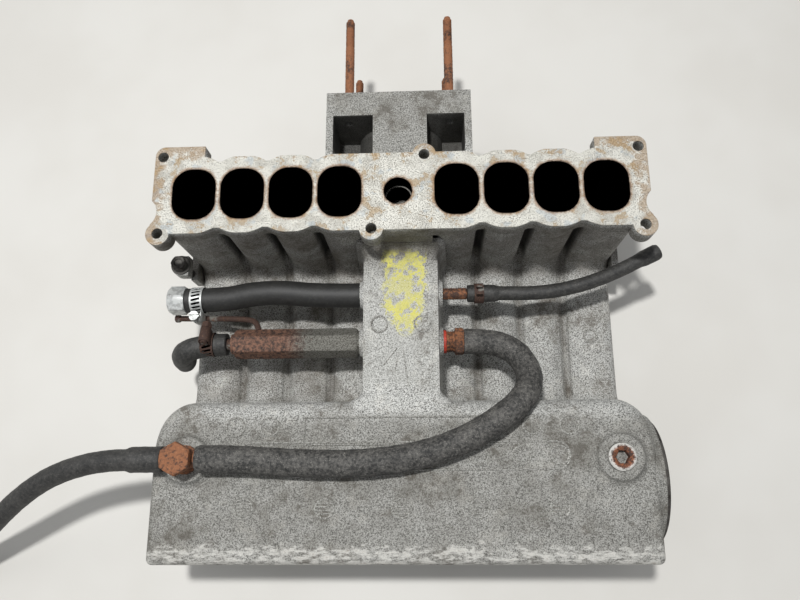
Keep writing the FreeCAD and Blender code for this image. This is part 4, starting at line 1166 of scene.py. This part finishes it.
def clamp_cover(base, grip, lean):
    """Pressed cover over a worm: the outline of an arch on two straight legs, carried along the
    worm, with a wall of even thickness."""
    axes = worm_axes(lean)
    arch = np.linspace(0, math.pi, 15)
    rings = []
    for radius in (4.5, 3.7):
        bow = np.stack([radius * np.cos(arch), WORM_SEAT + radius * np.sin(arch)], 1)
        rings.append(np.array([(radius, 0.2), *bow, (-radius, 0.2)]))
    where = np.array([-6.5, -6.3, 0, 6.3, 6.5])[:, None, None]
    thickness = np.array([0.5, 1, 1, 1, 0.5])[:, None, None]
    middle = (rings[0] + rings[1]) / 2
    middle = np.concatenate([middle, middle[::-1]])
    section = middle + (np.concatenate([rings[0], rings[1][::-1]]) - middle) * thickness
    points = (np.array(base, float) + (grip + BAND_THICK) * axes[2] + where * axes[0]
              + section[..., :1] * axes[1] + section[..., 1:] * axes[2])
    return capped_sheet(points), False, True


def capped_sheet(points):
    """Rings of a thin wall with each end closed by folding its ring flat onto itself."""
    count = points.shape[1]
    folded = (points + points[:, (count - 1 - np.arange(count))]) / 2
    return np.concatenate([folded[:1], points, folded[-1:]])


# Middle of the band, radius it grips, turn of the worm about the hose in degrees, finish, slot.
CLAMPS = {
    "heater_clamp": ((-176.0, 28.0, 87.0), 10.5, 90, "zinc", "bare_steel"),
    "elbow_clamp": ((-164.0, -11.5, 88.0), 9.5, -20, "brown", "corroded_steel"),
}


# ---------------------------------------------------------------- operators

HOSE_END = (0, 28, 87)
SENSOR = 36.0
FLOOR_HALF = 4.0
SKY_TONE = tone(244, 246, 250)
# Size and place of each lamp, in metres.
LAMPS = {"key": (0.10, (-0.16, 0.17, 1.7)), "side": (0.6, (-1.5, 0.1, 1.0))}


class Maker:
    """What the operators share: they build their pieces and report that they are done."""

    bl_options = {"REGISTER"}

    def execute(self, context):
        self.build(context.scene.manifold_sizes)
        return {"FINISHED"}


class MANIFOLD_OT_stage(bpy.types.Operator):
    """Build the floor, the lights and the camera"""
    bl_idname = "manifold.stage"
    bl_label = "Stage"

    def execute(self, context):
        stage = context.scene.manifold_stage
        scene = context.scene
        scene.view_settings.view_transform = "Standard"
        camera = bpy.data.cameras.new("Camera")
        camera.lens = stage.lens
        camera.sensor_width = SENSOR
        holder = bpy.data.objects.new("Camera", camera)
        scene.collection.objects.link(holder)
        down, heading = stage.elevation, stage.heading
        ahead = np.array([math.sin(heading) * math.cos(down),
                          math.cos(heading) * math.cos(down), -math.sin(down)])
        level = np.array([math.cos(heading), -math.sin(heading), 0])
        under = np.cross(ahead, level)
        right = math.cos(stage.roll) * level + math.sin(stage.roll) * under
        up = math.sin(stage.roll) * level - math.cos(stage.roll) * under
        pose = np.eye(4)
        pose[:3, :3] = np.stack([right, up, -ahead], 1)
        pose[:3, 3] = stage.place
        holder.matrix_world = Matrix(pose.tolist())
        scene.camera = holder
        mesh = bpy.data.meshes.new("floor")
        mesh.from_pydata([(x * FLOOR_HALF, y * FLOOR_HALF, 0)
                          for x, y in ((-1, -1), (1, -1), (1, 1), (-1, 1))], [], [(0, 1, 2, 3)])
        mesh.materials.append(finish_of("floor"))
        floor = bpy.data.objects.new("floor", mesh)
        scene.collection.objects.link(floor)
        for name, (wide, place) in LAMPS.items():
            lamp = bpy.data.lights.new(name, "AREA")
            lamp.energy = getattr(stage, name)
            lamp.size = wide
            light = bpy.data.objects.new(name, lamp)
            scene.collection.objects.link(light)
            light.location = place
            aim = (-light.location).to_track_quat("-Z", "Y").to_matrix()
            light.matrix_world = Matrix.Translation(place) @ aim.to_4x4()
        world = bpy.data.worlds.new("World")
        scene.world = world
        world.use_nodes = True
        background = world.node_tree.nodes["Background"]
        background.inputs["Color"].default_value = SKY_TONE
        background.inputs["Strength"].default_value = stage.sky
        return {"FINISHED"}


class MANIFOLD_OT_port_flange(Maker, bpy.types.Operator):
    """Round the edges of the port flange and paint its ports near black as painted shade"""
    bl_idname = "manifold.port_flange"
    bl_label = "Port flange"

    def build(self, sizes):
        flange = copied("port_flange", "face soot", CAST, sizes.edge / MM * 0.7)
        # Faces inside the ports and the gas port get the near black painted shade.
        blacken(flange.data, in_a_port)


class MANIFOLD_OT_runners(Maker, bpy.types.Operator):
    """Build the eight runners"""
    bl_idname = "manifold.runners"
    bl_label = "Runners"

    def build(self, sizes):
        for side, sign in (("left", -1), ("right", 1)):
            for number in range(4):
                node = "runner_%s_%d" % (side, number + 1)
                # Their inner passages take the second finish, the near black painted shade.
                made(node + "_casting", [runner_shell(sign, number, sizes)], "cast soot", CAST,
                     replaced=(node,), sharp=SOFT_EDGE)


class MANIFOLD_OT_duct(Maker, bpy.types.Operator):
    """Build the skin of the centre duct and the pads for its fittings"""
    bl_idname = "manifold.duct"
    bl_label = "Centre duct"

    def build(self, sizes):
        core = copied("centre_duct", "cast soot", CAST, 0.6)
        # Faces inside the ports and the gas port get the near black painted shade.
        blacken(core.data, in_a_port)
        made("centre_duct_skin", [duct_skin()], "cast", CAST, sharp=SOFT_EDGE)
        made("fitting_pads", fitting_pads(), "cast", CAST)


class MANIFOLD_OT_plenum(Maker, bpy.types.Operator):
    """Build the plenum with its bosses, its end cap and the casting marks"""
    bl_idname = "manifold.plenum"
    bl_label = "Plenum"

    def build(self, sizes):
        cap_low, cap_high = corners("plenum_end_cap")
        row, height = (cap_low[1] + cap_high[1]) / 2, (cap_low[2] + cap_high[2]) / 2
        rim = [(55.6, -1), (54.6, 1.6), (54, 3.4), (54, 6), (47.1, 6), (47.1, -3), (55, -3)]
        seat = lathe(eased(rim, 0.9, True), (PLENUM_HALF, row, height), "x", 96, closed=True,
                     rough=0.1)
        made("plenum_casting", [plenum_shell(), boss(-1), boss(1), seat], "cast", CAST,
             replaced=("plenum",), sharp=SOFT_EDGE)
        made("casting_marks", casting_marks(sizes.mark / MM), "mark", CAST)
        dish = [(0, 1.2), (30, 1.2), (37, 1.8), (42.5, 3.5), (44, 4), (48.8, 4), (50, 3),
                (50, 0.1), (47, 0.1), (47, -8), (0, -8)]
        made("end_cap", [lathe(eased(dish, 0.8), (202, row, height), "x", 96)],
             "pressed", "pressed_steel", replaced=("plenum_end_cap",))


class MANIFOLD_OT_neck(Maker, bpy.types.Operator):
    """Round the throttle neck, the side ears and the bolt lug"""
    bl_idname = "manifold.neck"
    bl_label = "Throttle neck and ears"

    def build(self, sizes):
        edge = sizes.edge / MM
        neck = copied("throttle_neck", "cast soot", CAST, edge)
        # The throttle bore's walls get the near black painted shade.
        blacken(neck.data, in_the_bore)
        for node in ("side_ear_left", "side_ear_right", "bolt_lug"):
            copied(node, "cast", CAST, edge * 0.6)


class MANIFOLD_OT_studs(Maker, bpy.types.Operator):
    """Build the four throttle studs with their threads"""
    bl_idname = "manifold.studs"
    bl_label = "Throttle studs"

    def build(self, sizes):
        pitch = sizes.pitch / MM
        shells = [stud(x, z, reach, pitch) for x in (-STUD_ACROSS, STUD_ACROSS)
                  for z, reach in STUD_ROWS]
        made("throttle_studs_threaded", shells, "rust", "rusted_steel",
             replaced=("throttle_studs",), sharp=70)


class MANIFOLD_OT_fittings(Maker, bpy.types.Operator):
    """Build the nipples, the adapter with its seal and the long hexagon extension"""
    bl_idname = "manifold.fittings"
    bl_label = "Duct fittings"

    def build(self, sizes):
        back = (0, REAR_FITTING, FITTING_HEIGHT)
        front = (0, FRONT_FITTING, FITTING_HEIGHT)
        nipple = [(0, -35), (6.4, -35), (6.4, -59), (0, -59)]
        turned("heater_nipple", eased(nipple, 0.6), back, "x", "brown", "corroded_steel")
        barb = [(0, 35), (4.9, 35), (4.9, 40), (4.6, 40.6), (4.9, 41.2), (4.9, 55.4), (3.6, 56),
                (3.6, 76), (0, 76)]
        turned("small_nipple", filled(eased(barb, 0.4), 0.8), back, "x", "orange",
               "rusted_steel", rough=0.16)
        washer = [(7.5, 35), (9.8, 35), (9.8, 37.6), (7.5, 37.6)]
        turned("adapter_seal", eased(washer, 0.7, True), front, "x", "seal", "red_seal",
               "_ring", closed=True)
        adapter = [(0, 35), (7.5, 35), (7.5, 37.6), (8.9, 37.6), (8.9, 44.2), (10.2, 44.4),
                   (12.1, 45.6), (12.1, 50.6), (10.5, 52), (6.4, 52), (6.4, 76), (0, 76)]
        turned("hose_adapter", filled(adapter, 0.35), front, "x", "orange", "rusted_steel",
               sharp=HARD_EDGE, around=96, flats=21, thread=(37.8, 44.2, 1.8, 0.7), rough=0.1)
        bar = [(0, -144), (8.6, -144), (8.6, -141), (11.2, -141), (12.7, -139.2), (12.7, -38.6),
               (11.2, -37), (10, -37), (10, -35), (0, -35)]
        turned("hexagon_extension", filled(bar, 3), front, "x", "extension", "corroded_steel",
               sharp=HARD_EDGE, around=96, flats=22, spin=40, rough=0.05)
        tail = [(0, -174), (4.8, -174), (4.8, -144), (0, -144)]
        turned("extension_nipple", eased(tail, 0.6), front, "x", "brown", "corroded_steel")


class MANIFOLD_OT_plugs(Maker, bpy.types.Operator):
    """Build the tee, the pipe plug, the bolt in the hose's end and the bolt on the lug"""
    bl_idname = "manifold.plugs"
    bl_label = "Tee, plug and bolts"

    def build(self, sizes):
        tee = [(0, 104), (8, 104), (8, 117), (11, 117), (11, 119.2), (9.6, 119.8), (9.2, 121),
               (9.2, 135), (11.1, 135.5), (12.7, 136.9), (12.7, 141.6), (11.2, 143),
               (9, 143.5), (0, 143.5)]
        middle = (-BOSS_ACROSS, BOSS_ROW, 0)
        height = (0, BOSS_ROW, 127.8)
        right = [(0, -168), (6.4, -168), (6.4, -131), (0, -131)]
        left = [(0, -205), (4.8, -205), (4.8, -168), (0, -168)]
        made("vacuum_tee_turned",
             [lathe(filled(tee, 1.5), middle, "z", 96, flats=22, spin=30, rough=0.04),
              lathe(filled(right, 4), height, "x", 48, rough=0.08),
              lathe(filled(left, 4), height, "x", 48, rough=0.08)],
             "rust", "rusted_steel", replaced=("vacuum_tee",), sharp=HARD_EDGE)
        plug = [(0, 104), (10.5, 104), (10.5, 118.6), (9.2, 120), (7.4, 120), (6.2, 119.7),
                (5.6, 119), (5.6, 111), (0, 111)]
        socket = [0, 0, 0, 0, 0, 0, 9.5, 9.5, 9.5]
        turned("pipe_plug", plug, (BOSS_ACROSS, BOSS_ROW, 0), "z", "plug", "corroded_steel",
               sharp=30, around=96, flats=socket, rough=0.08)
        bolt = [(0, -201.5), (8.6, -201.5), (10.6, -201), (12.7, -199.4), (12.7, -187.8),
                (11.2, -186.5), (6.4, -186.5), (6.4, -158.5), (0, -158.5)]
        turned("hose_plug_bolt", bolt, HOSE_END, "x", "zinc", "zinc_plate", sharp=HARD_EDGE,
               around=96, flats=22, spin=52)
        low, high = corners("lug_bolt")
        lug = ((low[0] + high[0]) / 2, (low[1] + high[1]) / 2, 0)
        disc = [(4.1, 86), (8.6, 86), (8.6, 87.8), (4.1, 87.8)]
        turned("lug_washer", eased(disc, 0.5, True), lug, "z", "pressed", "corroded_steel",
               "_pressed", closed=True)
        small = [(0, 60), (4, 60), (4, 87.8), (5.8, 87.8), (6.9, 88.6), (6.9, 93.6), (5.8, 94.8),
                 (3.6, 94.8), (3.2, 93.9), (0, 93.9)]
        turned("lug_bolt", filled(small, 0.4), lug, "z", "pressed", "corroded_steel",
               sharp=HARD_EDGE, around=72, flats=12, thread=(60, 84, 1.25, 0.6))


class MANIFOLD_OT_clamps(Maker, bpy.types.Operator):
    """Build the two worm clamps and the spring clamp"""
    bl_idname = "manifold.clamps"
    bl_label = "Hose clamps"

    def build(self, sizes):
        for label, (base, grip, lean, shade, slot) in CLAMPS.items():
            band = made(label + "_slotted_band", [clamp_band(base, grip, lean)],
                        shade + " soot", slot, replaced=(label + "_band",), sharp=30)
            # Slot floors and the band's inside get the near black painted shade.
            blacken(band.data, nearer_than(grip + BAND_SLOT_FLOOR, base))
            made(label + "_cover", [clamp_cover(base, grip, lean)], shade, slot,
                 replaced=(label + "_housing",), sharp=50)
            made(label + "_worm_screw", [clamp_screw(base, grip, lean)], shade, slot,
                 replaced=(label + "_screw",), body=label + "_worm", sharp=HARD_EDGE)
        copied("spring_clamp", "brown", "corroded_steel", 0.4, "_bent")


class MANIFOLD_OT_hoses(Maker, bpy.types.Operator):
    """Build the four free hoses, the moulded elbow and the thin steel line"""
    bl_idname = "manifold.hoses"
    bl_label = "Hoses"

    def build(self, sizes):
        wrinkle = sizes.wrinkle / MM
        for name, (outer, inner, end_bore, swells, shade, share, end, real, others) in (
                HOSES.items()):
            line = centreline(name, ROUTES[name])
            total = run_of(line)[-1]
            sections = hose_sections(total, outer, inner, FIRST_BORE, end_bore, swells)
            hose = made(name + "_rubber", [tube(line, sections, wrinkle=wrinkle * share)],
                        shade, "hose_rubber", replaced=(name,))
        line = centreline("elbow_hose", ROUTES["elbow_hose"])
        sections = hose_sections(run_of(line)[-1], 9.5, 4.85, FIRST_BORE, 14)
        made("elbow_hose_moulded", [tube(line, sections, up=(0, 1, 0), wrinkle=wrinkle)],
             "worn_rubber", "hose_rubber", replaced=("elbow_hose",))
        line = centreline("vacuum_line", ROUTES["vacuum_line"])
        total = run_of(line)[-1]
        where = np.linspace(0.02, total - 5, 60)
        sections = [(0, 0), *((at, 2.5) for at in where), (total - 4.4, 2.9), (total - 3.6, 3.5),
                    (total - 0.8, 3.5), (total - 0.05, 2.9), (total, 0)]
        made("vacuum_line_bent", [tube(line, sections, around=20)], "brown",
             "corroded_steel", replaced=("vacuum_line",))


OPERATORS = (
    MANIFOLD_OT_stage, MANIFOLD_OT_clamps, MANIFOLD_OT_plugs, MANIFOLD_OT_hoses,
    MANIFOLD_OT_port_flange, MANIFOLD_OT_runners, MANIFOLD_OT_duct, MANIFOLD_OT_plenum,
    MANIFOLD_OT_neck, MANIFOLD_OT_studs, MANIFOLD_OT_fittings,
)


class MANIFOLD_PT_looks(bpy.types.Panel):
    """Lists the steps that build the manifold"""
    bl_label = "Intake manifold"
    bl_idname = "MANIFOLD_PT_looks"
    bl_space_type = "VIEW_3D"
    bl_region_type = "UI"
    bl_category = "Manifold"

    def draw(self, context):
        for group in (context.scene.manifold_sizes, context.scene.manifold_colours,
                      context.scene.manifold_stage):
            for name in group.__annotations__:
                self.layout.prop(group, name)
        for operator in OPERATORS:
            self.layout.operator(operator.bl_idname)


GROUPS = {
    "manifold_sizes": ManifoldSizes,
    "manifold_colours": ManifoldColours,
    "manifold_stage": ManifoldStage,
}


def register():
    for name, group in GROUPS.items():
        bpy.utils.register_class(group)
        setattr(bpy.types.Scene, name, bpy.props.PointerProperty(type=group))
    for thing in OPERATORS + (MANIFOLD_PT_looks,):
        bpy.utils.register_class(thing)


def unregister():
    for thing in OPERATORS + (MANIFOLD_PT_looks,):
        bpy.utils.unregister_class(thing)
    for name, group in GROUPS.items():
        delattr(bpy.types.Scene, name)
        bpy.utils.unregister_class(group)


def main():
    register()
    for operator in OPERATORS:
        name = operator.bl_idname.split(".")[1]
        getattr(bpy.ops.manifold, name)()


if __name__ == "__main__":
    main()
